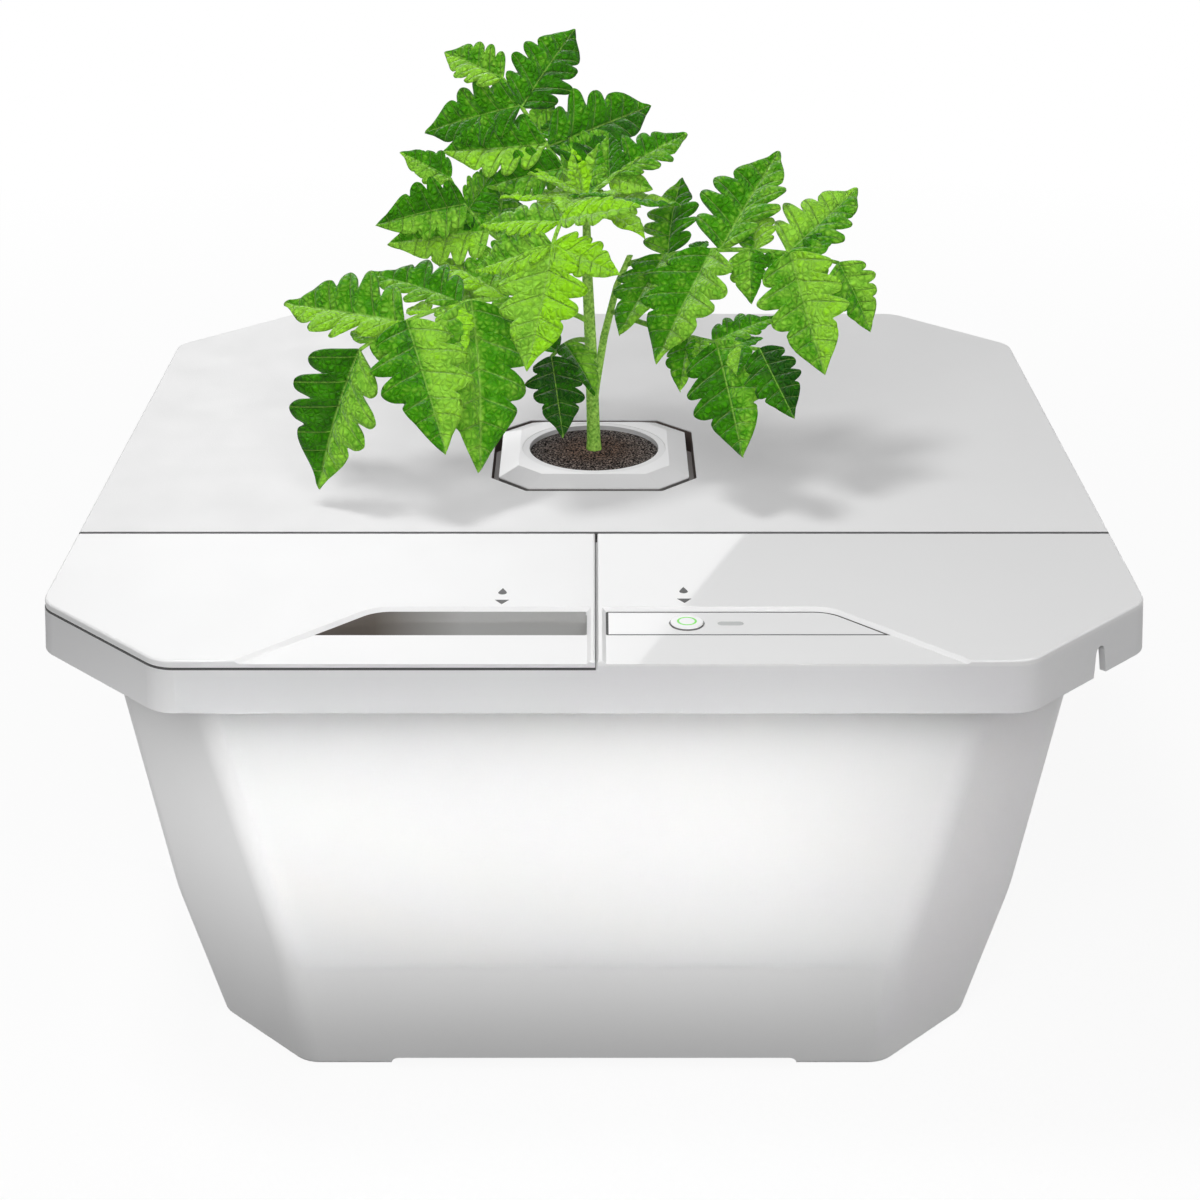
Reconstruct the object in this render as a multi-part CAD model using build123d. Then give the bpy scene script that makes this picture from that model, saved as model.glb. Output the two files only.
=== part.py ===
from build123d import *
import os
from math import cos, radians, sin, sqrt, tan

# Table-top water-culture grower: an octagonal tub, a rim frame with a control deck, a lift-off rear lid
# with a pot, a lift-off fill cover, and the pump, air stone and electronics inside.
# Millimetres. The origin is on the floor under the middle of the tub, +Z is up and the front faces -Y.

# Lid outline and heights
LID_HALF = 190.0
LID_CHAMFER = 47.5
LID_CORNER_R = 13.0
LID_TOP = 191.5
LID_T = 2.6
LID_REVEAL = 0.6
LID_EDGE_R = 0.8
SEAM_GAP = 0.8
SEAM_FROM_EDGE = 108.2
SEAM_X = 0.8

# Clearances and the overrun of every cut
OVERRUN = 1.0
LOCATE_GAP = 1.0
TRIM_GAP = 0.1
RUN_GAP = 0.06
SMALL_GAP = 0.3
CORNER_R_LEAST = 1.5
RUN_SHARE = 0.45
PAD_FILL_SHARE = 0.8

# Tub
RIM_INSET = 17.7
KINK_INSET = 13.2
FOOT_INSET = 14.6
FOOT_CHAMFER = 35.6
KINK_CHAMFER = 47.0
KINK_Z = 58.0
KINK_BAND = 6.0
KINK_STEPS = 4
RIM_CHAMFER = 33.8
TUB_CORNER_R = 13.0
TUB_WALL = 2.5
TUB_FLOOR = 2.5
TUB_EDGE_R = 3.0
FLANGE_OUT = 5.5
FLANGE_T = 3.0
FOOT_H = 3.6
FOOT_PAD_L = 68.0
FOOT_GAP_R = 3.0
SUMP_FROM_SIDE = 40.5
SUMP_FROM_FRONT = 2.5
SUMP_W = 58.5
SUMP_D = 56.0
SUMP_UNDER_Z = 0.8
SUMP_BEVEL = 2.0

# Rim frame: skirt, top ring and bars
SKIRT_H = 18.6
SKIRT_FLARE = 1.4
SKIRT_WALL = 2.5
FRAME_T = 2.5
RING_LIP = 0.8
BAR_HALF = 7.0
BAR_LAND = 0.6
RIB_T = 2.5
RIB_H = 10.0
RIB_INSET = 6.0
NOTCH_ALONG = 9.0
NOTCH_W = 7.6
NOTCH_TOP_W = 5.0
NOTCH_H = 10.6
PORT_W = 13.0
PORT_H = 16.0
CLIP_T = 2.0
CLIP_H = 8.0
CLIP_MOUTH = 8.0

# Finger recesses, fill slot and control panel
RECESS_D = 1.3
RECESS_R = 13.0
RECESS_ANGLE = 45.0
SLOT_FROM_EDGE = 41.1
SLOT_D = 19.0
SLOT_SIDE = 3.2
SLOT_FROM_SIDE = 95.5
SLOT_R = 0.8
PANEL_FROM_SIDE = 91.4
PANEL_T = 1.2
PANEL_SEAL_W = 0.9
PANEL_SEAL_SUNK = 0.1
CHUTE_T = 1.4
CHUTE_H = 14.0
DECK_T = 3.9

# Drain button and status light
BUTTON_X = 31.4
BUTTON_FROM_BACK = 9.6
BUTTON_R = 5.6
BUTTON_GAP = 0.4
BUTTON_PROUD = 0.9
BUTTON_TRAVEL = 0.8
BUTTON_PLAY = 0.1
BUTTON_EDGE_R = 0.4
BUTTON_STEM_R = 2.4
BUTTON_COLLAR_R = 3.3
BUTTON_COLLAR_T = 0.8
GLOW_R = 3.4
GLOW_W = 0.8
GLOW_D = 0.6
LIGHT_X = 46.2
LIGHT_LENGTH = 8.7
LIGHT_W = 2.9
LIGHT_LAND = 0.6
SWITCH_SIZE = 6.0
SWITCH_H = 3.4
PLUNGER_R = 1.3
PLUNGER_SHOWN = 1.6
PLUNGER_HOLE_D = 2.6

# Lid pads, locating ribs and stiffeners
PAD_R = 4.0
PAD_INSET = 7.0
LOCATE_T = 2.0
LOCATE_H = 7.0
STIFF_T = 1.6
STIFF_H = 5.0

# Pot well, collar, net pot and growing medium
WELL_HALF = 40.1
WELL_CHAMFER = 13.8
WELL_T = 2.0
WELL_D = 9.0
WELL_FLOOR_T = 2.0
WELL_HOLE_R = 31.0
COLLAR_HALF = 37.2
COLLAR_CHAMFER = 11.8
COLLAR_T = 2.4
COLLAR_RISE = 3.0
CROWN_HALF = 29.6
CROWN_CHAMFER = 9.4
POT_FLANGE_R = 28.5
POT_FLANGE_T = 1.6
POT_TOP_R = 27.2
POT_BOTTOM_R = 20.0
POT_DEPTH = 58.0
POT_WALL = 1.4
POT_SLOT_W = 5.0
POT_SLOT_TOP = 10.0
POT_SLOT_END = 8.0
POT_SLOTS = 10
POT_BASE_HOLE_R = 3.0
POT_BASE_RING_R = 11.0
POT_BASE_HOLES = 6
MEDIUM_SUNK = 0.5
MEDIUM_DOME = 1.4

# Control housing under the deck
HOUSING_LEFT = 14.5
HOUSING_FROM_SIDE = 12.3
HOUSING_FROM_FRONT = 7.3
HOUSING_FROM_SEAM = 14.2
HOUSING_CUT = 35.0
HOUSING_WALL = 2.2
HOUSING_H = 30.0
HOUSING_R = 4.0
GASKET_T = 1.0
EAR_W = 9.0
EAR_REACH = 7.0
EAR_T = 4.0
SCREW_R = 1.4
SCREW_HEAD_R = 2.6
SCREW_HEAD_H = 2.0
SCREW_BITE = 4.0
SCREW_CLEAR = 0.25
BOARD_X0 = 19.0
BOARD_X1 = 64.0
BOARD_FROM_REAR = 22.0
BOARD_T = 1.6
POST_R = 2.5
POST_INSET = 4.0
JACK_DROP = 8.6
JACK_R = 4.4
JACK_BORE_R = 2.8
JACK_DEPTH = 10.0
JACK_PIN_R = 1.0
JACK_PIN_SHORT = 1.0
JACK_BLOCK_W = 11.0
JACK_BLOCK_D = 9.0
JACK_PROUD = 1.0
AIR_PUMP_W = 44.0
AIR_PUMP_D = 30.0
AIR_PUMP_H = 17.0
AIR_PUMP_R = 3.0
AIR_PUMP_FROM_BOARD = 32.0
NIPPLE_FROM_MIDDLE = 12.0
NIPPLE_FROM_REAR = 7.0
NIPPLE_R = 1.5
NIPPLE_H = 9.0

# Air line and air stone
AIR_LINE_R = 2.5
STONE_R = 20.0
STONE_H = 13.0
STONE_R_EDGE = 3.0
STONE_NIPPLE = 9.0
AIR_BEND_Z = 55.0
AIR_RUN = 31.0

# Drain pump in the sump, its feet and its hose
PUMP_FROM_SIDE = 29.0
PUMP_W = 42.0
PUMP_FROM_FRONT = 6.0
PUMP_D = 30.0
PUMP_H = 34.0
PUMP_R = 4.0
PUMP_FOOT_H = 6.0
PUMP_FOOT_R = 5.0
PUMP_FOOT_NECK_R = 2.2
PUMP_FOOT_INSET = 7.0
PUMP_COVER_T = 3.0
CHAMBER_R = 13.0
CHAMBER_D = 12.0
IMPELLER_R = 11.0
IMPELLER_HUB_R = 4.0
IMPELLER_H = 9.0
IMPELLER_BLADE_T = 1.4
IMPELLER_BLADES = 6
SHAFT_R = 1.5
SHAFT_SEAT = 3.0
INTAKE_W = 2.6
INTAKE_L = 22.0
INTAKE_PITCH = 5.2
INTAKE_ROWS = 2
BOSS_R = 3.5
BOSS_H = 1.0
SPIGOT_R = 3.6
SPIGOT_BORE_R = 2.4
SPIGOT_H = 12.0
HOSE_R = 5.5
HOSE_X = -22.0
HOSE_DROP = 13.8
HOSE_RISE = 67.0
NOZZLE_COLLAR_R = 5.5
NOZZLE_COLLAR_H = 2.5
NOZZLE_TIP_R = 3.2
NOZZLE_H = 8.0
NOZZLE_TAIL = 12.0
NOZZLE_BORE_R = 2.2

# Plant: main stem and side shoot from the bottom up, then the compound leaves
STEM_R = 2.7
STEM_ROOTED = 18.0
STEM_H = 100.0
STEM_HOLE_GAP = 0.15
BUD_R = 3.4
STEM_PLACE_SHARES = {
    "main": ((0.0, 0.0, 0.0), (-0.01, 0.0, 0.36), (-0.025, 0.0, 0.70), (-0.03, 0.02, 1.0)),
    "side": ((0.0, 0.01, 0.22), (0.04, 0.04, 0.46), (0.09, 0.06, 0.66), (0.14, 0.06, 0.78)),
}
STEM_R_SHARES = {"main": (1.0, 0.92, 0.78, 0.5), "side": (0.62, 0.58, 0.52, 0.45)}
PLANT_REACH = 100.0
LEAF_T = 1.0
RACHIS_R = 0.9
LEAFLET_ALONG_SHARES = (0.08, 0.19, 0.25, 0.36, 0.42, 0.55, 0.59, 0.72, 0.87)
LEAFLET_HALF_SHARES = (0.13, 0.24, 0.165, 0.29, 0.185, 0.26, 0.185, 0.165, 0.085)

# Each leaf: its stem and the share of that stem's height where it grows; then heading, slope at both ends
# and roll of its rachis in degrees, and its length; then its leaflets, the end one first, each with its
# place on the rachis, spread and droop in degrees, and length. Lengths are shares of the reach.
LEAF_SHARES = {
    "leaf_upper_left": ("main", 1.0, (148, 48, 50, -40, 0.59), (
        (0.97, 23, 21, 0.25), (0.75, -64, 4, 0.41), (0.76, 62, 27, 0.41), (0.46, 59, 16, 0.41),
        (0.44, -98, 9, 0.48), (0.54, -89, 14, 0.19),
    )),
    "leaf_left_rear": ("main", 0.71, (178, 1, 76, -42, 0.76), (
        (0.88, 26, 23, 0.21), (0.73, 62, 8, 0.36), (0.70, -79, -3, 0.23), (0.55, 46, 11, 0.39),
    )),
    "leaf_left_front": ("main", 0.5, (212, 34, -28, -29, 1.06), (
        (0.99, 16, 33, 0.56), (0.80, -58, 14, 0.55), (0.79, 73, 6, 0.55), (0.57, -61, 11, 0.42),
        (0.53, 78, 18, 0.65), (0.63, 83, 8, 0.21),
    )),
    "leaf_front": ("main", 0.42, (237, 29, -28, -24, 0.31), (
        (0.92, 39, 4, 0.28), (0.80, -94, -8, 0.15),
    )),
    "leaf_crown": ("main", 1.0, (254, 24, -37, 4, 0.47), (
        (1.00, 1, 12, 0.49), (1.00, -77, 10, 0.33), (1.00, 71, 6, 0.29), (0.74, -89, -6, 0.32),
        (0.71, 85, -15, 0.33),
    )),
    "leaf_upper_right": ("main", 1.0, (4, 55, 27, 38, 0.18), (
        (0.86, 16, 15, 0.35), (0.72, 66, -4, 0.20), (0.73, -46, 10, 0.17),
    )),
    "leaf_right": ("side", 0.9, (-22, 21, -8, 42, 0.87), (
        (1.00, -40, 22, 0.28), (0.21, 89, -10, 0.35), (0.19, -107, -10, 0.39), (0.46, 75, 4, 0.51),
        (0.42, -105, -5, 0.52), (0.77, 66, 10, 0.44), (0.78, -62, 7, 0.51), (0.62, 101, 0, 0.24),
        (0.59, -78, 11, 0.21),
    )),
    "leaf_right_front": ("side", 0.5, (-45, -5, 8, 33, 0.78), (
        (1.00, -41, 19, 0.33), (0.72, -48, 19, 0.49), (0.70, 66, 13, 0.28), (0.54, -71, 14, 0.22),
    )),
}

# Places and levels that follow from the sizes above
FRAME_TOP = LID_TOP - LID_T - LID_REVEAL
FRAME_UNDER = FRAME_TOP - FRAME_T
LID_UNDER = LID_TOP - LID_T
FLOOR_UNDER = FOOT_H
FLOOR_TOP = FLOOR_UNDER + TUB_FLOOR
SUMP_TOP = SUMP_UNDER_Z + TUB_FLOOR
SKIRT_BOTTOM = LID_TOP - SKIRT_H
RIM_HALF = LID_HALF - RIM_INSET
KINK_HALF = RIM_HALF - KINK_INSET
FOOT_HALF = KINK_HALF - FOOT_INSET
FOOT_GAP_HALF = FOOT_HALF - FOOT_PAD_L
SUMP_X1 = FOOT_HALF - SUMP_FROM_SIDE
SUMP_X0 = SUMP_X1 - SUMP_W
SUMP_FRONT = FOOT_HALF - SUMP_FROM_FRONT
SUMP_REAR = SUMP_FRONT - SUMP_D
RING_HALF = RIM_HALF - TUB_WALL - RING_LIP
SEAM_Y = SEAM_FROM_EDGE - LID_HALF
SLOT_BACK_Y = SLOT_FROM_EDGE - LID_HALF
SLOT_FRONT_Y = SLOT_BACK_Y - SLOT_D
SLOT_REACH = LID_HALF - SLOT_FROM_SIDE
PANEL_REACH = LID_HALF - PANEL_FROM_SIDE
BUTTON_Y = SLOT_BACK_Y - BUTTON_FROM_BACK
BAR_REAR_Y = SEAM_Y + BAR_HALF
BAR_FRONT_Y = SEAM_Y - BAR_HALF
BAR_LEFT_X = SEAM_X - SEAM_GAP / 2 - BAR_LAND
DECK_X = SEAM_X + SEAM_GAP / 2
DECK_Y = SEAM_Y - SEAM_GAP / 2
PANEL_TOP = LID_TOP - RECESS_D
PANEL_SEAT = PANEL_TOP - PANEL_T
POCKET_TOP = LID_TOP - DECK_T
HOUSING_RIGHT = RIM_HALF - HOUSING_FROM_SIDE
HOUSING_FRONT = RIM_HALF - HOUSING_FROM_FRONT
HOUSING_REAR = HOUSING_FROM_SEAM - SEAM_Y
HOUSING_TOP = FRAME_UNDER - GASKET_T
HOUSING_UNDER = HOUSING_TOP - HOUSING_H
HOUSING_FLOOR = HOUSING_UNDER + HOUSING_WALL
COLLAR_TOP = LID_TOP + COLLAR_RISE
POT_SEAT = COLLAR_TOP - POT_FLANGE_T - TRIM_GAP
POT_UNDER = POT_SEAT - POT_DEPTH
WELL_LEDGE = LID_TOP - WELL_D
BUTTON_COLLAR_TOP = POCKET_TOP - BUTTON_PLAY
STEM_FOOT = BUTTON_COLLAR_TOP - BUTTON_COLLAR_T
SWITCH_TOP = STEM_FOOT - PLUNGER_SHOWN
BOARD_TOP = SWITCH_TOP - SWITCH_H
BOARD_REAR = HOUSING_REAR + BOARD_FROM_REAR
JACK_Z = FRAME_UNDER - JACK_DROP
AIR_PUMP_X = BOARD_X1 + AIR_PUMP_FROM_BOARD
AIR_X = AIR_PUMP_X - NIPPLE_FROM_MIDDLE
AIR_Y = -HOUSING_REAR - NIPPLE_FROM_REAR
AIR_BEND_Y = AIR_Y + AIR_RUN
PUMP_X = SUMP_X1 - PUMP_FROM_SIDE
PUMP_FRONT = SUMP_FRONT - PUMP_FROM_FRONT
PUMP_UNDER = SUMP_TOP + PUMP_FOOT_H
PUMP_TOP = PUMP_UNDER + PUMP_H
PUMP_REAR = PUMP_FRONT - PUMP_D
PUMP_AXIS_Z = PUMP_UNDER + PUMP_H / 2
HOSE_Y = -PUMP_REAR - CHAMBER_D / 2
HOSE_TOP_Z = FRAME_UNDER - HOSE_DROP
HOSE_LEVEL_Z = HOSE_TOP_Z - HOSE_RISE
MEDIUM_TOP = COLLAR_TOP - MEDIUM_SUNK - MEDIUM_DOME
SQUARE_TURN = 90.0
HALF_TURN = 180.0


# Shared shapes

def inset(half, chamfer, radius, by):
    """Octagon sizes moved in by a wall thickness; a negative value moves them out."""
    return half - by, chamfer - by * (2 - sqrt(2)), max(radius - by, CORNER_R_LEAST)


def octagon(half, chamfer, radius):
    """Square with 45 degree corner cuts and rounded corners."""
    flat = half - chamfer
    points = [(flat, -half), (half, -flat), (half, flat), (flat, half)]
    points += [(-flat, half), (-half, flat), (-half, -flat), (-flat, -half)]
    face = make_face(Polyline(*points, close=True))
    return fillet(face.vertices(), radius)


def block(x0, x1, y0, y1, z0, z1):
    """Box between two corners."""
    middle = Pos((x0 + x1) / 2, (y0 + y1) / 2, (z0 + z1) / 2)
    return middle * Box(x1 - x0, y1 - y0, z1 - z0)


def rod(radius, x, y, z0, z1):
    """Upright cylinder between two heights."""
    return Pos(x, y, (z0 + z1) / 2) * Cylinder(radius, z1 - z0)


def rod_along_y(radius, x, z, y0, y1):
    """Cylinder along Y between two places."""
    return Pos(x, (y0 + y1) / 2, z) * Rot(SQUARE_TURN, 0, 0) * Cylinder(radius, y1 - y0)


def lid_octagon(by=0):
    return octagon(*inset(LID_HALF, LID_CHAMFER, LID_CORNER_R, by))


def ring_octagon(by=0):
    chamfer = RIM_CHAMFER - (RIM_HALF - RING_HALF) * (2 - sqrt(2))
    return octagon(*inset(RING_HALF, chamfer, TUB_CORNER_R, by))


def lift(face, z0, z1):
    """Extrude a flat outline between two heights."""
    return extrude(Pos(0, 0, z0) * face, z1 - z0)


def zone(face, x0, x1, y0, y1):
    """Part of a flat outline between two X and two Y values."""
    window = Pos((x0 + x1) / 2, (y0 + y1) / 2) * Rectangle(x1 - x0, y1 - y0)
    return face & window


def rear_opening(by=0):
    return zone(ring_octagon(by), -LID_HALF, LID_HALF, BAR_REAR_Y + by, LID_HALF)


def fill_opening(by=0):
    return zone(ring_octagon(by), -LID_HALF, BAR_LEFT_X - by, -LID_HALF, BAR_FRONT_Y - by)


def recess_floor(side, reach, front_y):
    """Outline of a finger recess or of the strip at its back, on one side of the middle seam."""
    inner = SEAM_X + side * SLOT_SIDE
    corner = SEAM_X + side * (reach - (SLOT_BACK_Y - SLOT_FRONT_Y))
    outer = corner + side * (SLOT_BACK_Y - front_y)
    points = [(inner, front_y), (inner, SLOT_BACK_Y), (corner, SLOT_BACK_Y), (outer, front_y)]
    face = make_face(Polyline(*points, close=True))
    turn = face.vertices().sort_by_distance((corner, SLOT_BACK_Y, 0))[0]
    return fillet(turn, RECESS_R)


def recess_cut(side, reach):
    """Shallow recess with bevelled walls that runs out through the front edge."""
    floor = recess_floor(side, reach, -LID_HALF - SKIRT_FLARE - OVERRUN)
    return extrude(Pos(0, 0, PANEL_TOP) * floor, RECESS_D + OVERRUN, taper=-RECESS_ANGLE)


def slot_strip(side, reach):
    strip = recess_floor(side, reach, SLOT_FRONT_Y)
    corners = strip.vertices().sort_by(Axis.X)
    ends = corners[-2:] if side < 0 else corners[:2]
    return fillet(ends, SLOT_R)


def housing_outline(by=0):
    left = HOUSING_LEFT + by
    right = HOUSING_RIGHT - by
    front = HOUSING_FRONT - by
    rear = HOUSING_REAR + by
    cut = HOUSING_CUT - by * (2 - sqrt(2))
    points = [(left, -front), (right - cut, -front), (right, cut - front), (right, -rear), (left, -rear)]
    face = make_face(Polyline(*points, close=True))
    return fillet(face.vertices(), max(HOUSING_R - by, CORNER_R_LEAST))


def ear_places():
    """Centres of the four screw ears of the control housing."""
    side_x = HOUSING_LEFT - EAR_REACH / 2
    back_y = EAR_REACH / 2 - HOUSING_REAR
    return [
        (side_x, -HOUSING_FRONT + 2 * EAR_W),
        (side_x, -HOUSING_REAR - EAR_W),
        (HOUSING_LEFT + 5 * EAR_W, back_y),
        (HOUSING_RIGHT - EAR_W, back_y),
    ]


# Tub

def tub_size(z, by=0):
    """Octagon sizes of the tub's outside at a height, moved in by a wall."""
    low = (FOOT_HALF, FOOT_CHAMFER)
    high = (KINK_HALF, KINK_CHAMFER)
    share = z / KINK_Z
    if z > KINK_Z:
        low, high = high, (RIM_HALF, RIM_CHAMFER)
        share = (z - KINK_Z) / (FRAME_UNDER - KINK_Z)
    half, chamfer = (a + (b - a) * share for a, b in zip(low, high))
    return inset(half, chamfer, TUB_CORNER_R, by)


def tub_section(z, by=0):
    return Pos(0, 0, z) * octagon(*tub_size(z, by))


def soft_kink(share):
    """Section of the rounded kink, from its lower end to its upper end."""
    ends = [(z, *tub_size(z)) for z in (KINK_Z - KINK_BAND, KINK_Z, KINK_Z + KINK_BAND)]
    weights = ((1 - share) ** 2, 2 * share * (1 - share), share ** 2)
    z, *size = (sum(w * v for w, v in zip(weights, values)) for values in zip(*ends))
    return Pos(0, 0, z) * octagon(*size)


def make_reservoir():
    bends = [soft_kink(step / KINK_STEPS) for step in range(KINK_STEPS + 1)]
    outer = loft([tub_section(0), *bends, tub_section(FRAME_UNDER)], ruled=True)
    outer = fillet(outer.faces().sort_by(Axis.Z)[0].edges(), TUB_EDGE_R)
    span = 2 * LID_HALF
    gap = Rectangle(2 * FOOT_GAP_HALF, 2 * FOOT_H)
    gap = fillet(gap.vertices(), FOOT_GAP_R)
    for turn in (0, SQUARE_TURN):
        outer -= Rot(0, 0, turn) * extrude(Plane.XZ * gap, span / 2, both=True)
    sump = block(SUMP_X0, SUMP_X1, -SUMP_FRONT, -SUMP_REAR, SUMP_UNDER_Z, FLOOR_TOP)
    outer += chamfer(sump.faces().sort_by(Axis.Z)[0].edges(), SUMP_BEVEL)
    flange = octagon(*inset(*tub_size(FRAME_UNDER), -FLANGE_OUT))
    outer += lift(flange, FRAME_UNDER - FLANGE_T, FRAME_UNDER)
    levels = [tub_section(z, TUB_WALL) for z in (FLOOR_TOP, KINK_Z, FRAME_UNDER)]
    inner = loft(levels, ruled=True)
    inner += lift(octagon(*tub_size(FRAME_UNDER, TUB_WALL)), FRAME_UNDER, FRAME_UNDER + OVERRUN)
    wall = TUB_WALL
    pocket = (SUMP_X0 + wall, SUMP_X1 - wall, wall - SUMP_FRONT, -SUMP_REAR - wall)
    inner += block(*pocket, SUMP_TOP, FLOOR_TOP + OVERRUN)
    return outer - inner - port_cut(PORT_W, FRAME_UNDER - PORT_H, FRAME_UNDER + OVERRUN)


def corner_frame(distance):
    """Place on the right front chamfer, X along its outward direction, at the cable notch."""
    along = NOTCH_ALONG
    outward = distance
    return Pos((along + outward) / 2, (along - outward) / 2, 0) * Rot(0, 0, -SQUARE_TURN / 2)


def port_cut(width, z0, z1):
    """Cable port through the tub's rim behind the notch of the skirt."""
    middle = corner_frame(2 * RIM_HALF - RIM_CHAMFER)
    depth = 2 * (FLANGE_OUT + TUB_WALL + RING_LIP)
    return middle * Pos(0, 0, (z0 + z1) / 2) * Box(depth, width, z1 - z0)


# Rim frame with its control deck

def skirt_size(z, by=0):
    flare = SKIRT_FLARE * (LID_TOP - z) / (LID_TOP - SKIRT_BOTTOM)
    return inset(LID_HALF, LID_CHAMFER, LID_CORNER_R, by - flare)


def skirt_body(z0, z1, by=0):
    return loft([Pos(0, 0, z) * octagon(*skirt_size(z, by)) for z in (z0, z1)], ruled=True)


def make_notch():
    """U-shaped cable notch, narrower at its round top."""
    low = SKIRT_BOTTOM - OVERRUN
    top = SKIRT_BOTTOM + NOTCH_H - NOTCH_TOP_W / 2
    half, half_top = NOTCH_W / 2, NOTCH_TOP_W / 2
    points = [(-half, low), (half, low), (half_top, top), (-half_top, top)]
    face = make_face(Polyline(*points, close=True)) + Pos(0, top) * Circle(half_top)
    place = corner_frame(2 * LID_HALF - LID_CHAMFER)
    return place * extrude(Plane.YZ * face, 2 * SKIRT_WALL, both=True)


def make_clip():
    """Open ring on an arm under the middle bar that holds the drain hose."""
    x, y = HOSE_X, HOSE_Y
    z1 = HOSE_TOP_Z
    z0 = z1 - CLIP_H
    outer_r = HOSE_R + TRIM_GAP + CLIP_T
    ring = rod(outer_r, x, y, z0, z1)
    ring += block(x, BAR_LEFT_X + RIB_T, y - CLIP_T / 2, y + CLIP_T / 2, z0, z1)
    ring -= rod(HOSE_R + TRIM_GAP, x, y, z0 - OVERRUN, z1 + OVERRUN)
    mouth = CLIP_MOUTH / 2
    return ring - block(x - 2 * outer_r, x, y - mouth, y + mouth, z0 - OVERRUN, z1 + OVERRUN)


def make_rim_frame():
    base = skirt_body(SKIRT_BOTTOM, FRAME_TOP)
    base -= skirt_body(SKIRT_BOTTOM - OVERRUN, FRAME_UNDER, SKIRT_WALL)
    deck = skirt_body(FRAME_TOP, LID_TOP)
    reach = LID_HALF + SKIRT_FLARE + OVERRUN
    deck &= block(DECK_X, reach, -reach, DECK_Y, FRAME_TOP, LID_TOP + OVERRUN)
    deck = fillet(deck.faces().sort_by(Axis.Z)[-1].edges(), LID_EDGE_R)
    base += deck
    high = LID_TOP + OVERRUN
    low = FRAME_UNDER - OVERRUN
    base -= lift(rear_opening(), low, high)
    base -= lift(fill_opening(), low, high)
    base -= lift(housing_outline(HOUSING_WALL), low, POCKET_TOP)
    base -= recess_cut(1, PANEL_REACH)
    base -= lift(slot_strip(1, PANEL_REACH), PANEL_SEAT, high)
    base -= rod(BUTTON_STEM_R + SMALL_GAP, BUTTON_X, BUTTON_Y, low, high)
    lamp = SlotOverall(LIGHT_LENGTH - 2 * LIGHT_LAND, LIGHT_W - 2 * LIGHT_LAND)
    base -= lift(Pos(LIGHT_X, BUTTON_Y) * lamp, low, high)
    for x, y in ear_places():
        base -= rod(SCREW_R + RUN_GAP, x, y, low, FRAME_UNDER + SCREW_BITE + SMALL_GAP)
    rib_low = FRAME_UNDER - RIB_H
    rib_end = RING_HALF - RIB_INSET
    base += block(-rib_end, rib_end, SEAM_Y - RIB_T / 2, SEAM_Y + RIB_T / 2, rib_low, FRAME_UNDER)
    rib_x = BAR_LEFT_X + RIB_T
    base += block(rib_x, rib_x + RIB_T, -rib_end, SEAM_Y, rib_low, FRAME_UNDER)
    clip = make_clip() + block(
        rib_x, rib_x + RIB_T, HOSE_Y - CLIP_H, HOSE_Y + CLIP_H, HOSE_TOP_Z - CLIP_H, FRAME_UNDER
    )
    return base + clip - make_notch()


# Lids

def make_pads(places, radius=PAD_R):
    return [rod(radius, x, y, FRAME_TOP, LID_UNDER) for x, y in places]


def make_rear_lid():
    gap = SEAM_GAP / 2
    plate = lift(zone(lid_octagon(), -LID_HALF, LID_HALF, SEAM_Y + gap, LID_HALF), LID_UNDER, LID_TOP)
    plate = fillet(plate.faces().sort_by(Axis.Z)[-1].edges(), LID_EDGE_R)
    low = LID_UNDER - LOCATE_H
    rib = lift(rear_opening(LOCATE_GAP) - rear_opening(LOCATE_GAP + LOCATE_T), low, LID_UNDER)
    well_out = octagon(*inset(WELL_HALF, WELL_CHAMFER, CORNER_R_LEAST, -WELL_T))
    well = lift(well_out, WELL_LEDGE - WELL_FLOOR_T, LID_UNDER)
    beam_low = LID_UNDER - STIFF_H
    span = RING_HALF - LOCATE_GAP - LOCATE_T / 2
    front = BAR_REAR_Y + LOCATE_GAP + LOCATE_T / 2
    half = STIFF_T / 2
    beams = block(-span, span, -half, half, beam_low, LID_UNDER)
    beams += block(-half, half, front, span, beam_low, LID_UNDER)
    for side in (-1, 1):
        x = side * span / 2
        beams += block(x - half, x + half, front, span, beam_low, LID_UNDER)
    lid = plate + rib + well + beams
    pad = RING_HALF + PAD_INSET
    across = LID_HALF - 2 * LID_CHAMFER
    places = [(side * pad, y) for side in (-1, 1) for y in (-across / 2, across)]
    places += [(side * across, pad) for side in (-1, 1)]
    lid += make_pads(places)
    bar_pad = (BAR_REAR_Y - SEAM_Y - gap) / 2
    bar_y = SEAM_Y + gap + bar_pad
    lid += make_pads([(side * across, bar_y) for side in (-1, 1)], bar_pad * PAD_FILL_SHARE)
    hole = octagon(WELL_HALF, WELL_CHAMFER, CORNER_R_LEAST)
    lid -= lift(hole, WELL_LEDGE, LID_TOP + OVERRUN)
    return lid - rod(WELL_HOLE_R, 0, 0, WELL_LEDGE - WELL_FLOOR_T - OVERRUN, LID_TOP)


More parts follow.
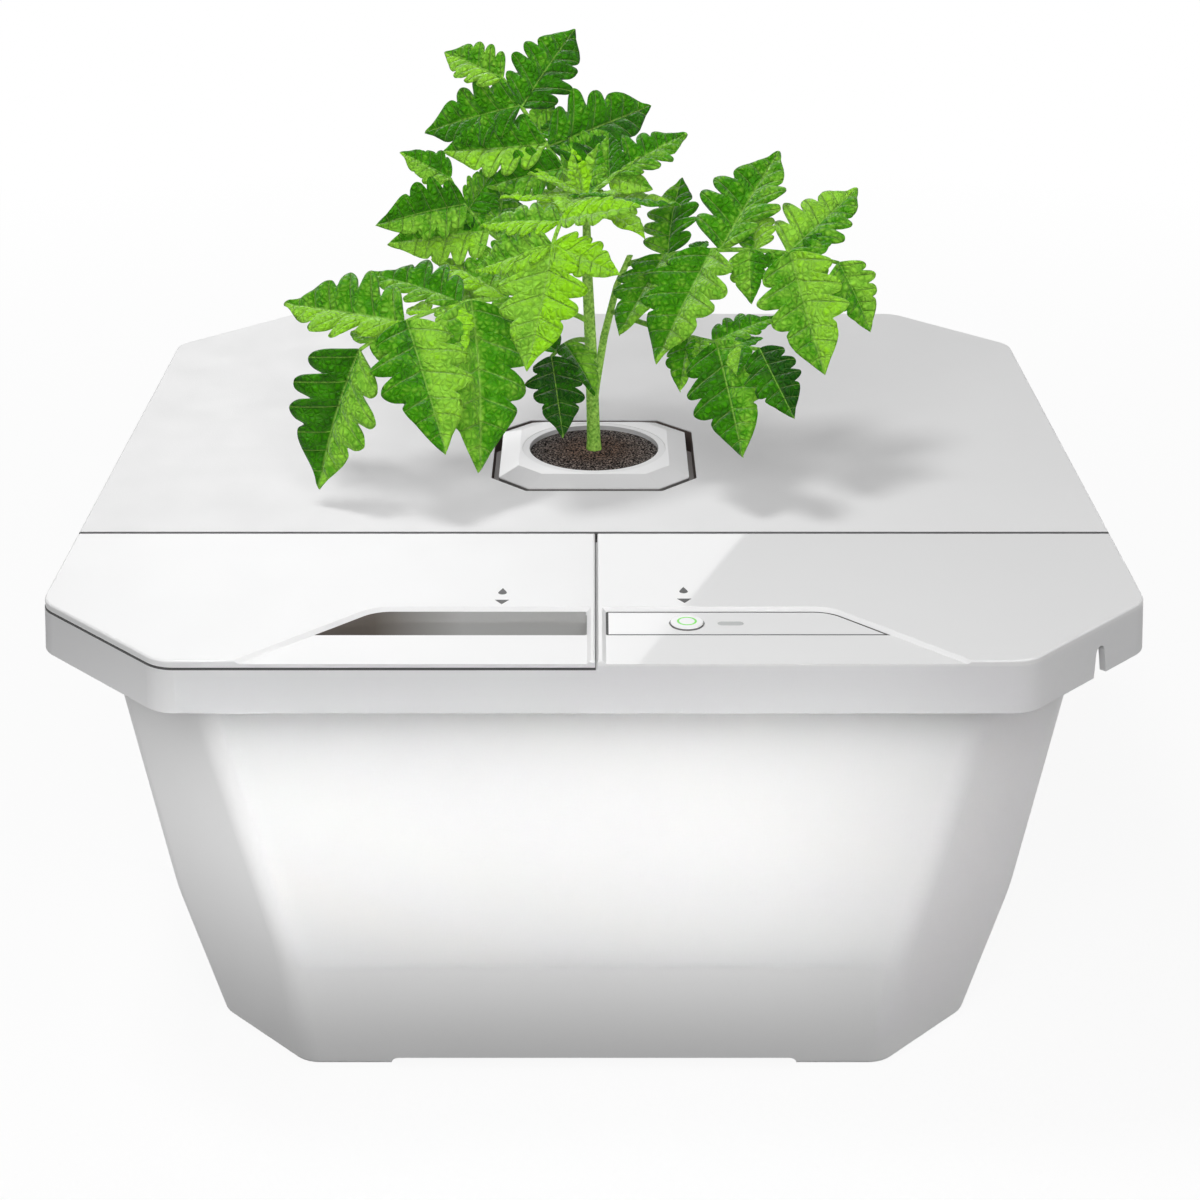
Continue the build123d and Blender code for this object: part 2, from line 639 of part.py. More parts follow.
def make_fill_cover():
    gap = SEAM_GAP / 2
    outline = zone(lid_octagon(), -LID_HALF, SEAM_X - gap, -LID_HALF, SEAM_Y - gap)
    plate = lift(outline, LID_UNDER, LID_TOP)
    plate = fillet(plate.faces().sort_by(Axis.Z)[-1].edges(), LID_EDGE_R)
    low = LID_UNDER - LOCATE_H
    plate += lift(fill_opening(LOCATE_GAP) - fill_opening(LOCATE_GAP + LOCATE_T), low, LID_UNDER)
    slot = slot_strip(-1, SLOT_REACH)
    wall = offset(slot, CHUTE_T, kind=Kind.INTERSECTION)
    wall = zone(wall, -LID_HALF, SEAM_X, SLOT_FRONT_Y, 0)
    plate += lift(wall, LID_UNDER - CHUTE_H, LID_UNDER)
    pad = RING_HALF + PAD_INSET
    across = LID_HALF - 2 * LID_CHAMFER
    places = [(-pad, -across - PAD_INSET), (-across - PAD_INSET, -pad), (-PAD_INSET, -pad)]
    plate += make_pads(places)
    bar_pad = (BAR_HALF - gap) / 2
    bar_y = SEAM_Y - gap - bar_pad
    plate += make_pads([(-across, bar_y), (-2 * PAD_INSET, bar_y)], bar_pad * PAD_FILL_SHARE)
    plate -= recess_cut(-1, SLOT_REACH)
    plate -= lift(Pos(0, -LOCATE_T) * slot, LID_UNDER - CHUTE_H - OVERRUN, LID_UNDER)
    return plate - lift(slot, LID_UNDER - CHUTE_H - OVERRUN, LID_TOP + OVERRUN)


# Control panel, button and lights

def make_control_panel():
    face = offset(slot_strip(1, PANEL_REACH), -PANEL_SEAL_W, kind=Kind.INTERSECTION)
    face -= Pos(BUTTON_X, BUTTON_Y) * Circle(BUTTON_R + BUTTON_GAP)
    face -= Pos(LIGHT_X, BUTTON_Y) * SlotOverall(LIGHT_LENGTH + 2 * TRIM_GAP, LIGHT_W + 2 * TRIM_GAP)
    return lift(face, PANEL_SEAT, PANEL_TOP)


def make_panel_seal():
    pocket = slot_strip(1, PANEL_REACH)
    face = pocket - offset(pocket, -PANEL_SEAL_W, kind=Kind.INTERSECTION)
    return lift(face, PANEL_SEAT, PANEL_TOP - PANEL_SEAL_SUNK)


def make_button_cap():
    top = PANEL_TOP + BUTTON_PROUD
    under = PANEL_SEAT + BUTTON_TRAVEL + BUTTON_PLAY
    cap = rod(BUTTON_R, BUTTON_X, BUTTON_Y, under, top)
    cap = fillet(cap.faces().sort_by(Axis.Z)[-1].edges(), BUTTON_EDGE_R)
    cap += rod(BUTTON_STEM_R, BUTTON_X, BUTTON_Y, STEM_FOOT, under)
    cap += rod(BUTTON_COLLAR_R, BUTTON_X, BUTTON_Y, STEM_FOOT, BUTTON_COLLAR_TOP)
    groove = rod(GLOW_R, BUTTON_X, BUTTON_Y, top - GLOW_D, top + OVERRUN)
    groove -= rod(GLOW_R - GLOW_W, BUTTON_X, BUTTON_Y, top - GLOW_D, top + OVERRUN)
    return cap - groove


def make_button_glow():
    top = PANEL_TOP + BUTTON_PROUD
    ring = rod(GLOW_R - RUN_GAP, BUTTON_X, BUTTON_Y, top - GLOW_D, top)
    return ring - rod(GLOW_R - GLOW_W + RUN_GAP, BUTTON_X, BUTTON_Y, top - GLOW_D - OVERRUN, top + OVERRUN)


def make_status_light():
    return lift(Pos(LIGHT_X, BUTTON_Y) * SlotOverall(LIGHT_LENGTH, LIGHT_W), PANEL_SEAT, PANEL_TOP)


def make_switch_plunger():
    foot = SWITCH_TOP - PLUNGER_HOLE_D + BUTTON_TRAVEL + BUTTON_PLAY
    return rod(PLUNGER_R, BUTTON_X, BUTTON_Y, foot, STEM_FOOT)


def make_switch():
    half = SWITCH_SIZE / 2
    body = block(
        BUTTON_X - half, BUTTON_X + half, BUTTON_Y - half, BUTTON_Y + half, BOARD_TOP, SWITCH_TOP
    )
    hole = rod(PLUNGER_R + RUN_GAP, BUTTON_X, BUTTON_Y, SWITCH_TOP - PLUNGER_HOLE_D, SWITCH_TOP + OVERRUN)
    return body - hole


# Control housing and what it holds

def board_span():
    front = HOUSING_FRONT - HOUSING_WALL - SMALL_GAP
    return BOARD_X0, BOARD_X1, -front, -BOARD_REAR


def make_housing():
    tub = lift(housing_outline(), HOUSING_UNDER, HOUSING_TOP)
    for x, y in ear_places():
        half = EAR_W / 2
        tub += block(x - half, x + half, y - half, y + half, HOUSING_TOP - EAR_T, HOUSING_TOP)
    tub -= lift(housing_outline(HOUSING_WALL), HOUSING_FLOOR, HOUSING_TOP + OVERRUN)
    for x, y in ear_places():
        tub -= rod(SCREW_R + SCREW_CLEAR, x, y, HOUSING_TOP - EAR_T - OVERRUN, HOUSING_TOP + OVERRUN)
    x0, x1, y0, y1 = board_span()
    for x in (x0 + POST_INSET, x1 - POST_INSET):
        for y in (y0 + POST_INSET, y1 - POST_INSET):
            tub += rod(POST_R, x, y, HOUSING_FLOOR, BOARD_TOP - BOARD_T)
    tub -= jack_place() * Rot(0, SQUARE_TURN, 0) * Cylinder(JACK_R + TRIM_GAP, 2 * JACK_BLOCK_D)
    return tub - rod(NIPPLE_R + TRIM_GAP, AIR_X, AIR_Y, HOUSING_UNDER - OVERRUN, HOUSING_FLOOR + OVERRUN)


def make_housing_gasket():
    face = housing_outline() - housing_outline(HOUSING_WALL)
    return lift(face, HOUSING_TOP, FRAME_UNDER)


def make_housing_screws():
    screws = []
    for x, y in ear_places():
        under = HOUSING_TOP - EAR_T
        head = rod(SCREW_HEAD_R, x, y, under - SCREW_HEAD_H, under)
        screws.append(head + rod(SCREW_R, x, y, under, FRAME_UNDER + SCREW_BITE))
    return Compound(children=screws)


def make_circuit_board():
    x0, x1, y0, y1 = board_span()
    return block(x0, x1, y0, y1, BOARD_TOP - BOARD_T, BOARD_TOP)


def jack_place():
    """Middle of the housing's cut corner wall, X pointing out, at the jack's height."""
    outward = HOUSING_RIGHT + HOUSING_FRONT - HOUSING_CUT
    return corner_frame(outward) * Pos(0, 0, JACK_Z)


def make_power_jack():
    inner = -HOUSING_WALL - TRIM_GAP
    barrel = JACK_PROUD - inner
    axis = Rot(0, SQUARE_TURN, 0)
    body = Pos((JACK_PROUD + inner) / 2, 0, 0) * axis * Cylinder(JACK_R, barrel)
    body += Pos(inner - JACK_BLOCK_D / 2, 0, 0) * Box(JACK_BLOCK_D, JACK_BLOCK_W, JACK_BLOCK_W)
    body -= Pos(JACK_PROUD - JACK_DEPTH / 2, 0, 0) * axis * Cylinder(JACK_BORE_R, JACK_DEPTH)
    pin = JACK_DEPTH - JACK_PIN_SHORT
    body += Pos(JACK_PROUD - JACK_PIN_SHORT - pin / 2, 0, 0) * axis * Cylinder(JACK_PIN_R, pin)
    return jack_place() * body


def make_air_pump():
    middle = Pos(AIR_PUMP_X, AIR_Y - AIR_PUMP_D / 2 + 2 * NIPPLE_R, HOUSING_FLOOR)
    case = middle * extrude(RectangleRounded(AIR_PUMP_W, AIR_PUMP_D, AIR_PUMP_R), AIR_PUMP_H)
    return case + rod(NIPPLE_R, AIR_X, AIR_Y, HOUSING_UNDER - NIPPLE_H, HOUSING_FLOOR)


# Air line and stone on the floor of the tub

def make_air_stone():
    stone = rod(STONE_R, 0, 0, FLOOR_TOP, FLOOR_TOP + STONE_H)
    stone = fillet(stone.faces().sort_by(Axis.Z)[-1].edges(), STONE_R_EDGE)
    return stone + rod_along_y(NIPPLE_R, 0, FLOOR_TOP + STONE_H / 2, -STONE_R - STONE_NIPPLE, -STONE_R / 2)


def tube_along(points, radii, radius, bore):
    """Tube along straight runs joined by arcs, square at both ends."""
    path = FilletPolyline(*points, radius=radii)
    start = Plane(origin=points[0], z_dir=Vector(*points[1]) - Vector(*points[0]))
    return sweep(start * (Circle(radius) - Circle(bore)), path=path)


def make_air_line():
    stone_z = FLOOR_TOP + STONE_H / 2
    points = [
        (AIR_X, AIR_Y, HOUSING_UNDER - SMALL_GAP),
        (AIR_X, AIR_Y, AIR_BEND_Z),
        (0, AIR_BEND_Y, stone_z),
        (0, -STONE_R - SMALL_GAP, stone_z),
    ]
    return tube_along(points, run_radii(points), AIR_LINE_R, NIPPLE_R + RUN_GAP)


def run_radii(points):
    """Largest arc at each corner that leaves a short straight on both runs."""
    radii = []
    for a, b, c in zip(points, points[1:], points[2:]):
        before = Vector(*b) - Vector(*a)
        after = Vector(*c) - Vector(*b)
        half_turn = radians(before.get_angle(after)) / 2
        radii.append(RUN_SHARE * min(before.length, after.length) / tan(half_turn))
    return radii


# Drain pump in the sump

def make_pump_body():
    outline = Pos(PUMP_X, -PUMP_FRONT + PUMP_D / 2) * RectangleRounded(PUMP_W, PUMP_D, PUMP_R)
    body = lift(outline, PUMP_UNDER, PUMP_TOP)
    body = fillet(body.faces().sort_by(Axis.Z)[-1].edges(), PUMP_R / 2)
    body += rod(SPIGOT_R, PUMP_X, HOSE_Y, PUMP_AXIS_Z, PUMP_TOP + SPIGOT_H)
    body -= rod(SPIGOT_BORE_R, PUMP_X, HOSE_Y, PUMP_AXIS_Z, PUMP_TOP + SPIGOT_H + OVERRUN)
    body -= rod_along_y(CHAMBER_R, PUMP_X, PUMP_AXIS_Z, -PUMP_REAR - CHAMBER_D, OVERRUN - PUMP_REAR)
    seat = -PUMP_REAR - CHAMBER_D - SHAFT_SEAT
    return body - rod_along_y(SHAFT_R + RUN_GAP, PUMP_X, PUMP_AXIS_Z, seat, -PUMP_REAR)


def make_pump_cover():
    face = Pos(PUMP_X, PUMP_AXIS_Z) * RectangleRounded(PUMP_W - 2 * PUMP_R, PUMP_H - PUMP_R, PUMP_R)
    slots = []
    for side in (-1, 1):
        for row in range(1, INTAKE_ROWS + 1):
            place = Pos(PUMP_X + side * (row * INTAKE_PITCH), PUMP_AXIS_Z)
            slots.append(place * Rot(0, 0, SQUARE_TURN) * SlotOverall(INTAKE_L, INTAKE_W))
    face -= slots
    cover = Pos(0, -PUMP_REAR, 0) * extrude(Plane.XZ * face, -PUMP_COVER_T)
    boss_y = -PUMP_REAR + PUMP_COVER_T
    cover += rod_along_y(BOSS_R, PUMP_X, PUMP_AXIS_Z, boss_y - PUMP_COVER_T, boss_y + BOSS_H)
    return cover - rod_along_y(SHAFT_R + RUN_GAP, PUMP_X, PUMP_AXIS_Z, -PUMP_REAR - OVERRUN, boss_y)


def make_pump_shaft():
    y0 = -PUMP_REAR - CHAMBER_D - SHAFT_SEAT
    return rod_along_y(SHAFT_R, PUMP_X, PUMP_AXIS_Z, y0, -PUMP_REAR + PUMP_COVER_T)


def make_impeller():
    slack = (CHAMBER_D - IMPELLER_H) / 2
    y0 = -PUMP_REAR - CHAMBER_D + slack
    y1 = -PUMP_REAR - slack
    wheel = rod_along_y(IMPELLER_HUB_R, PUMP_X, PUMP_AXIS_Z, y0, y1)
    blade_half = IMPELLER_BLADE_T / 2
    for turn in range(IMPELLER_BLADES):
        spin = Pos(PUMP_X, 0, PUMP_AXIS_Z) * Rot(0, turn * 2 * HALF_TURN / IMPELLER_BLADES, 0)
        wheel += spin * block(0, IMPELLER_R, y0, y1, -blade_half, blade_half)
    return wheel - rod_along_y(SHAFT_R + RUN_GAP, PUMP_X, PUMP_AXIS_Z, y0 - OVERRUN, y1 + OVERRUN)


def make_pump_feet():
    profile = [
        (0, 0), (PUMP_FOOT_R, 0), (PUMP_FOOT_NECK_R, PUMP_FOOT_H / 2),
        (PUMP_FOOT_NECK_R, PUMP_FOOT_H), (0, PUMP_FOOT_H),
    ]
    foot = revolve(Plane.XZ * make_face(Polyline(*profile, close=True)), Axis.Z)
    reach_x = PUMP_W / 2 - PUMP_FOOT_INSET
    reach_y = PUMP_D / 2 - PUMP_FOOT_INSET
    middle_y = PUMP_D / 2 - PUMP_FRONT
    places = [(PUMP_X + sx * reach_x, middle_y + sy * reach_y) for sx in (-1, 1) for sy in (-1, 1)]
    return Compound(children=[Pos(x, y, SUMP_TOP) * foot for x, y in places])


def make_drain_hose():
    points = [
        (PUMP_X, HOSE_Y, PUMP_TOP + SMALL_GAP),
        (PUMP_X, HOSE_Y, HOSE_LEVEL_Z),
        (HOSE_X, HOSE_Y, HOSE_LEVEL_Z),
        (HOSE_X, HOSE_Y, HOSE_TOP_Z),
    ]
    return tube_along(points, run_radii(points), HOSE_R, SPIGOT_R + RUN_GAP)


def make_hose_nozzle():
    collar_top = HOSE_TOP_Z + NOZZLE_COLLAR_H
    tip_top = collar_top + NOZZLE_H
    profile = [
        (NOZZLE_BORE_R, HOSE_TOP_Z - NOZZLE_TAIL), (SPIGOT_R, HOSE_TOP_Z - NOZZLE_TAIL),
        (SPIGOT_R, HOSE_TOP_Z), (NOZZLE_COLLAR_R, HOSE_TOP_Z), (NOZZLE_COLLAR_R, collar_top),
        (SPIGOT_R, collar_top), (NOZZLE_TIP_R, tip_top), (NOZZLE_BORE_R, tip_top),
    ]
    solid = revolve(Plane.XZ * make_face(Polyline(*profile, close=True)), Axis.Z)
    return Pos(HOSE_X, HOSE_Y, 0) * solid


# Pot: collar, net pot and growing medium

def make_pot_collar():
    size = (COLLAR_HALF, COLLAR_CHAMFER, CORNER_R_LEAST)
    crown = (CROWN_HALF, CROWN_CHAMFER, CORNER_R_LEAST)
    body = lift(octagon(*size), WELL_LEDGE, LID_TOP)
    body += loft([Pos(0, 0, LID_TOP) * octagon(*size), Pos(0, 0, COLLAR_TOP) * octagon(*crown)], ruled=True)
    hollow = octagon(*inset(*size, COLLAR_T))
    body -= lift(hollow, WELL_LEDGE - OVERRUN, POT_SEAT - COLLAR_T)
    body -= rod(POT_FLANGE_R + TRIM_GAP, 0, 0, POT_SEAT, COLLAR_TOP + OVERRUN)
    return body - rod(POT_TOP_R + SMALL_GAP, 0, 0, WELL_LEDGE, COLLAR_TOP)


def pot_radius(z):
    return POT_BOTTOM_R + (POT_TOP_R - POT_BOTTOM_R) * (z - POT_UNDER) / POT_DEPTH


def make_net_pot():
    top = POT_SEAT + POT_FLANGE_T
    floor = POT_UNDER + POT_WALL
    profile = [
        (0, POT_UNDER), (POT_BOTTOM_R, POT_UNDER), (POT_TOP_R, POT_SEAT), (POT_FLANGE_R, POT_SEAT),
        (POT_FLANGE_R, top), (POT_TOP_R - POT_WALL, top), (POT_TOP_R - POT_WALL, POT_SEAT),
        (pot_radius(floor) - POT_WALL, floor), (0, floor),
    ]
    pot = revolve(Plane.XZ * make_face(Polyline(*profile, close=True)), Axis.Z)
    high = POT_SEAT - POT_SLOT_TOP
    low = POT_UNDER + POT_SLOT_END
    slot = Pos(0, (high + low) / 2) * Rot(0, 0, SQUARE_TURN) * SlotOverall(high - low, POT_SLOT_W)
    cutter = extrude(Plane.XZ * slot, -2 * POT_TOP_R)
    for turn in range(POT_SLOTS):
        pot -= Rot(0, 0, turn * 2 * HALF_TURN / POT_SLOTS) * cutter
    for turn in range(POT_BASE_HOLES):
        hole = rod(POT_BASE_HOLE_R, POT_BASE_RING_R, 0, POT_UNDER - OVERRUN, floor + OVERRUN)
        pot -= Rot(0, 0, turn * 2 * HALF_TURN / POT_BASE_HOLES) * hole
    return pot


def make_medium():
    floor = POT_UNDER + POT_WALL
    low_r = pot_radius(floor) - POT_WALL - TRIM_GAP
    high_r = min(pot_radius(MEDIUM_TOP), POT_TOP_R) - POT_WALL - TRIM_GAP
    dome_r = (high_r * high_r + MEDIUM_DOME * MEDIUM_DOME) / (2 * MEDIUM_DOME)
    crest = MEDIUM_TOP + MEDIUM_DOME
    sides = Polyline((0, crest), (0, floor), (low_r, floor), (high_r, MEDIUM_TOP))
    dome = RadiusArc((high_r, MEDIUM_TOP), (0, crest), dome_r)
    plug = revolve(Plane.XZ * make_face(sides + dome), Axis.Z)
    return plug - rod(STEM_R + STEM_HOLE_GAP, 0, 0, crest - STEM_ROOTED, crest + OVERRUN)


# Plant

def stem_point(stem, share):
    """Middle of a stem at a share of the way along its stations."""
    places = STEM_PLACE_SHARES[stem]
    spans = len(places) - 1
    first = min(int(share * spans), spans - 1)
    part = share * spans - first
    x, y, z = (a + (b - a) * part for a, b in zip(places[first], places[first + 1]))
    return Vector(x * STEM_H, y * STEM_H, MEDIUM_TOP + MEDIUM_DOME + z * STEM_H)


def make_stem():
    """Main stem and side shoot, with the growing bud that the top leaves spring from."""
    base = MEDIUM_TOP + MEDIUM_DOME
    stems = rod(STEM_R, 0, 0, base - STEM_ROOTED, base)
    for name, shares in STEM_R_SHARES.items():
        spans = len(shares) - 1
        places = [stem_point(name, step / spans) for step in range(spans + 1)]
        stems += loft([Pos(*place) * Circle(STEM_R * share) for place, share in zip(places, shares)])
    return stems + Pos(*stem_point("main", 1)) * Sphere(BUD_R)


def rachis_place(start, heading, rise, fall, roll, length, share):
    """Plane on an arched rachis: origin on it, X along it and Z out of the leaf's upper side."""
    turn = radians(rise - fall)
    bend_r = length / turn
    slope = radians(rise) - turn * share
    out = bend_r * (sin(radians(rise)) - sin(slope))
    up = bend_r * (cos(slope) - cos(radians(rise)))
    flat = Vector(cos(radians(heading)), sin(radians(heading)), 0)
    upright = Vector(0, 0, 1)
    along = flat * cos(slope) + upright * sin(slope)
    normal = upright * cos(slope) - flat * sin(slope)
    side = normal.cross(along)
    normal = normal * cos(radians(roll)) - side * sin(radians(roll))
    return Plane(origin=start + flat * out + upright * up, x_dir=along, z_dir=normal)


def leaflet_plate(length):
    """Lobed leaflet along +X from its stalk to its tip."""
    half = [(a * length, h * length) for a, h in zip(LEAFLET_ALONG_SHARES, LEAFLET_HALF_SHARES)]
    other = [(x, -y) for x, y in reversed(half)]
    face = make_face(Polyline((0, RACHIS_R), *half, (length, 0), *other, (0, -RACHIS_R), close=True))
    return extrude(face, LEAF_T / 2, both=True)


def make_leaf(stem, grows, arch, leaflets):
    """Compound leaf: an arched rachis up to its end leaflet, and the leaflets along it."""
    *bends, rachis_share = arch
    place = (stem_point(stem, grows), *bends, rachis_share * PLANT_REACH)
    end = leaflets[0][0]
    first, middle, last = (rachis_place(*place, share * end) for share in (0, 1 / 2, 1))
    path = ThreePointArc(first.origin, middle.origin, last.origin)
    leaf = sweep(Plane(origin=first.origin, z_dir=first.x_dir) * Circle(RACHIS_R), path=path)
    for along, spread, droop, leaflet_share in leaflets:
        turn = Rot(0, 0, spread) * Rot(0, droop, 0)
        leaf += rachis_place(*place, along) * turn * leaflet_plate(leaflet_share * PLANT_REACH)
    return leaf


# Build every piece and write it

parts = {
    "reservoir": make_reservoir(),
    "rim_frame": make_rim_frame(),
    "rear_lid": make_rear_lid(),
    "fill_cover": make_fill_cover(),
    "control_panel": make_control_panel(),
    "panel_seal": make_panel_seal(),
    "button_cap": make_button_cap(),
    "button_glow": make_button_glow(),
    "status_light": make_status_light(),
    "switch_plunger": make_switch_plunger(),
    "tact_switch": make_switch(),
    "control_housing": make_housing(),
    "housing_gasket": make_housing_gasket(),
    "housing_screws": make_housing_screws(),
    "circuit_board": make_circuit_board(),
    "power_jack": make_power_jack(),
    "air_pump": make_air_pump(),
    "air_line": make_air_line(),
    "air_stone": make_air_stone(),
    "pump_body": make_pump_body(),
    "pump_cover": make_pump_cover(),
    "pump_shaft": make_pump_shaft(),
    "pump_impeller": make_impeller(),
    "pump_feet": make_pump_feet(),
    "drain_hose": make_drain_hose(),
    "hose_nozzle": make_hose_nozzle(),
    "pot_collar": make_pot_collar(),
    "net_pot": make_net_pot(),
    "growing_medium": make_medium(),
    "plant_stem": make_stem(),
}

for name, shares in LEAF_SHARES.items():
    parts[name] = make_leaf(*shares) - parts["plant_stem"]

os.makedirs("parts", exist_ok=True)
for name, shape in parts.items():
    export_step(shape, f"parts/{name}.step")
    print(name, len(shape.solids()), round(shape.volume))
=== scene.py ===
# %% [markdown]
# # A table-top water-culture planter with a young tomato plant
# The measured model of the planter already exists as a fixed frame: every moulded piece is in it at its
# real size and place. This lesson dresses that frame. It sets up the photographer's camera and lights,
# gives each plastic its finish, and then grows what a measured model can't show well: damp coir and
# living leaves.

# %% Load the measured frame
import random
from math import cos, exp, pi, radians, sin

import bmesh
import bpy
from mathutils import Matrix, Vector, noise


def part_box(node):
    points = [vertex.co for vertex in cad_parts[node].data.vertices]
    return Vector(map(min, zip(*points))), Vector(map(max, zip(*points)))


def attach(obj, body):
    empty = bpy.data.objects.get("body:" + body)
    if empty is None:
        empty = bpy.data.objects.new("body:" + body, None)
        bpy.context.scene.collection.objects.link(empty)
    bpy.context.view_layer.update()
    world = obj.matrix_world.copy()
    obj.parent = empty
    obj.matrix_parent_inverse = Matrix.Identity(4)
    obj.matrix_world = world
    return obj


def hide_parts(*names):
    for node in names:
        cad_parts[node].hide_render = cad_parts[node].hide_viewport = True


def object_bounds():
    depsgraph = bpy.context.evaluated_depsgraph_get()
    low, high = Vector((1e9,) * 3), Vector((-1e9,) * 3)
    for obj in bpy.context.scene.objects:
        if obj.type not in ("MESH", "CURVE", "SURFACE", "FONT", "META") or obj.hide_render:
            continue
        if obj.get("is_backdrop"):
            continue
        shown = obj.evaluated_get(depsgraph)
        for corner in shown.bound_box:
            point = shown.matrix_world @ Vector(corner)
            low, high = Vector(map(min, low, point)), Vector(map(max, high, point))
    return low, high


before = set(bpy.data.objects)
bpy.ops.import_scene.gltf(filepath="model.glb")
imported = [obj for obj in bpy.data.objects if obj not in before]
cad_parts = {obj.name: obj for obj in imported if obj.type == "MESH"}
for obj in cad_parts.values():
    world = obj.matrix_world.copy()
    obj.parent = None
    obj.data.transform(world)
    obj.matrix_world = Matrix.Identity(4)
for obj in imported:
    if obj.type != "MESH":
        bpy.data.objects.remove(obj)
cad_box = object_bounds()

MM = 0.001
scene = bpy.context.scene
scene.view_settings.view_transform = "Standard"

# %% [markdown]
# ## Camera
# The photograph looks down on the front of the planter from a little over half a metre up. The octagon of
# the lid shows how strong the perspective is, so the distance, tilt and focal length were worked out from
# it. A small shift puts the picture's middle where the photographer's crop has it.

# %% Camera at the photograph's viewing angle
CAMERA_PLACE = Vector((0.0, -858.4, 514.9)) * MM
CAMERA_TILT = radians(24.3)
FOCAL_MM = 68.46
CROP_SHIFT = 0.005

lens = bpy.data.cameras.new("photo_camera")
lens.lens = FOCAL_MM
lens.shift_x = CROP_SHIFT
camera = bpy.data.objects.new("photo_camera", lens)
camera.location = CAMERA_PLACE
camera.rotation_euler = (pi / 2 - CAMERA_TILT, 0, 0)
scene.collection.objects.link(camera)
scene.camera = camera
print("camera at", tuple(round(x, 3) for x in camera.location))

# %% [markdown]
# ## Floor and studio light
# A white product shot wants a pure white ground that still takes a shadow. For the camera, and for mirror
# and glass rays, the floor is mostly a white glow with some lit paint in it, so a shadow still darkens
# it. For all other rays it is a dark grey card, so that little light comes back up and the planter's
# lower faces stay darker.

# %% Rays that see the ground


def math_node(tree, operation, first, second=None):
    """One Math node; the operands are sockets or numbers."""
    node = tree.nodes.new("ShaderNodeMath")
    node.operation = operation
    for socket, value in zip(node.inputs, (first, second)):
        if isinstance(value, (int, float)):
            socket.default_value = value
        elif value is not None:
            tree.links.new(value, socket)
    return node.outputs[0]


def seen_ray(tree):
    """Socket that is 1 for rays from the camera, a mirror or clear glass, and 0 for the rest."""
    path = tree.nodes.new("ShaderNodeLightPath")
    seen = math_node(tree, "MAXIMUM", path.outputs["Is Camera Ray"], path.outputs["Is Glossy Ray"])
    return math_node(tree, "MAXIMUM", seen, path.outputs["Is Transmission Ray"])


def mix_shaders(tree, factor, first, second):
    """Mix of two shaders; the factor is a number or a socket."""
    mix = tree.nodes.new("ShaderNodeMixShader")
    if isinstance(factor, float):
        mix.inputs[0].default_value = factor
    else:
        tree.links.new(factor, mix.inputs[0])
    tree.links.new(first.outputs[0], mix.inputs[1])
    tree.links.new(second.outputs[0], mix.inputs[2])
    return mix


print("ray helpers ready")

# %% White floor
FLOOR_REACH = 12.0
FLOOR_DROP = 0.0002
GLOW_NEAR = 0.9
GLOW_REACH = (0.25, 1.3)
FLOOR_PAINT = 0.95
FLOOR_CARD = 0.12


def make_floor():
    """White floor with the object's shadow; its glow grows with the distance from the planter."""
    mesh = bpy.data.meshes.new("studio_floor")
    form = bmesh.new()
    bmesh.ops.create_grid(form, x_segments=1, y_segments=1, size=FLOOR_REACH)
    bmesh.ops.translate(form, verts=form.verts, vec=(0, 0, -FLOOR_DROP))
    form.to_mesh(mesh)
    form.free()
    made = bpy.data.materials.new("studio_white")
    made.use_nodes = True
    tree = made.node_tree
    tree.nodes.clear()
    paint = tree.nodes.new("ShaderNodeBsdfDiffuse")
    paint.inputs["Color"].default_value = (FLOOR_PAINT, FLOOR_PAINT, FLOOR_PAINT, 1)
    card = tree.nodes.new("ShaderNodeBsdfDiffuse")
    card.inputs["Color"].default_value = (FLOOR_CARD, FLOOR_CARD, FLOOR_CARD, 1)
    glow = tree.nodes.new("ShaderNodeEmission")
    away = tree.nodes.new("ShaderNodeVectorMath")
    away.operation = "LENGTH"
    tree.links.new(tree.nodes.new("ShaderNodeTexCoord").outputs["Object"], away.inputs[0])
    share = tree.nodes.new("ShaderNodeMapRange")
    for socket, value in zip(("From Min", "From Max", "To Min"), (*GLOW_REACH, GLOW_NEAR)):
        share.inputs[socket].default_value = value
    tree.links.new(away.outputs["Value"], share.inputs["Value"])
    white = mix_shaders(tree, share.outputs[0], paint, glow)
    both = mix_shaders(tree, seen_ray(tree), card, white)
    out = tree.nodes.new("ShaderNodeOutputMaterial")
    tree.links.new(both.outputs[0], out.inputs["Surface"])
    mesh.materials.append(made)
    floor = bpy.data.objects.new("studio_floor", mesh)
    scene.collection.objects.link(floor)
    floor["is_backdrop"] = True


make_floor()
print("white floor, glow from", GLOW_NEAR)

# %% White world
AMBIENT = 0.19


def make_world():
    """Sky that is white where it is seen and dim where it lights."""
    world = bpy.data.worlds.new("studio_world")
    world.use_nodes = True
    scene.world = world
    tree = world.node_tree
    sky = tree.nodes["Background"]
    sky.inputs["Color"].default_value = (1, 1, 1, 1)
    level = tree.nodes.new("ShaderNodeMapRange")
    level.inputs["To Min"].default_value = AMBIENT
    level.inputs["To Max"].default_value = 1.0
    tree.links.new(seen_ray(tree), level.inputs["Value"])
    tree.links.new(level.outputs[0], sky.inputs["Strength"])


make_world()
print("white world, ambient level", AMBIENT)

# %% [markdown]
# Five soft boxes do the rest. A small one, above and to the left, throws the plant's shadow on the lid. A
# broad one lights lid and tub from the front. A strip with a grid, which keeps its beam narrow, brightens
# the tub's upper face and leaves the part under the kink darker. A low one at the right lifts the cut
# corner on that side. A tall one behind the planter is only there to be mirrored: its slanted edge is the
# diagonal sheen on the right half of the deck. It casts no shadow, or the plant would break that sheen.

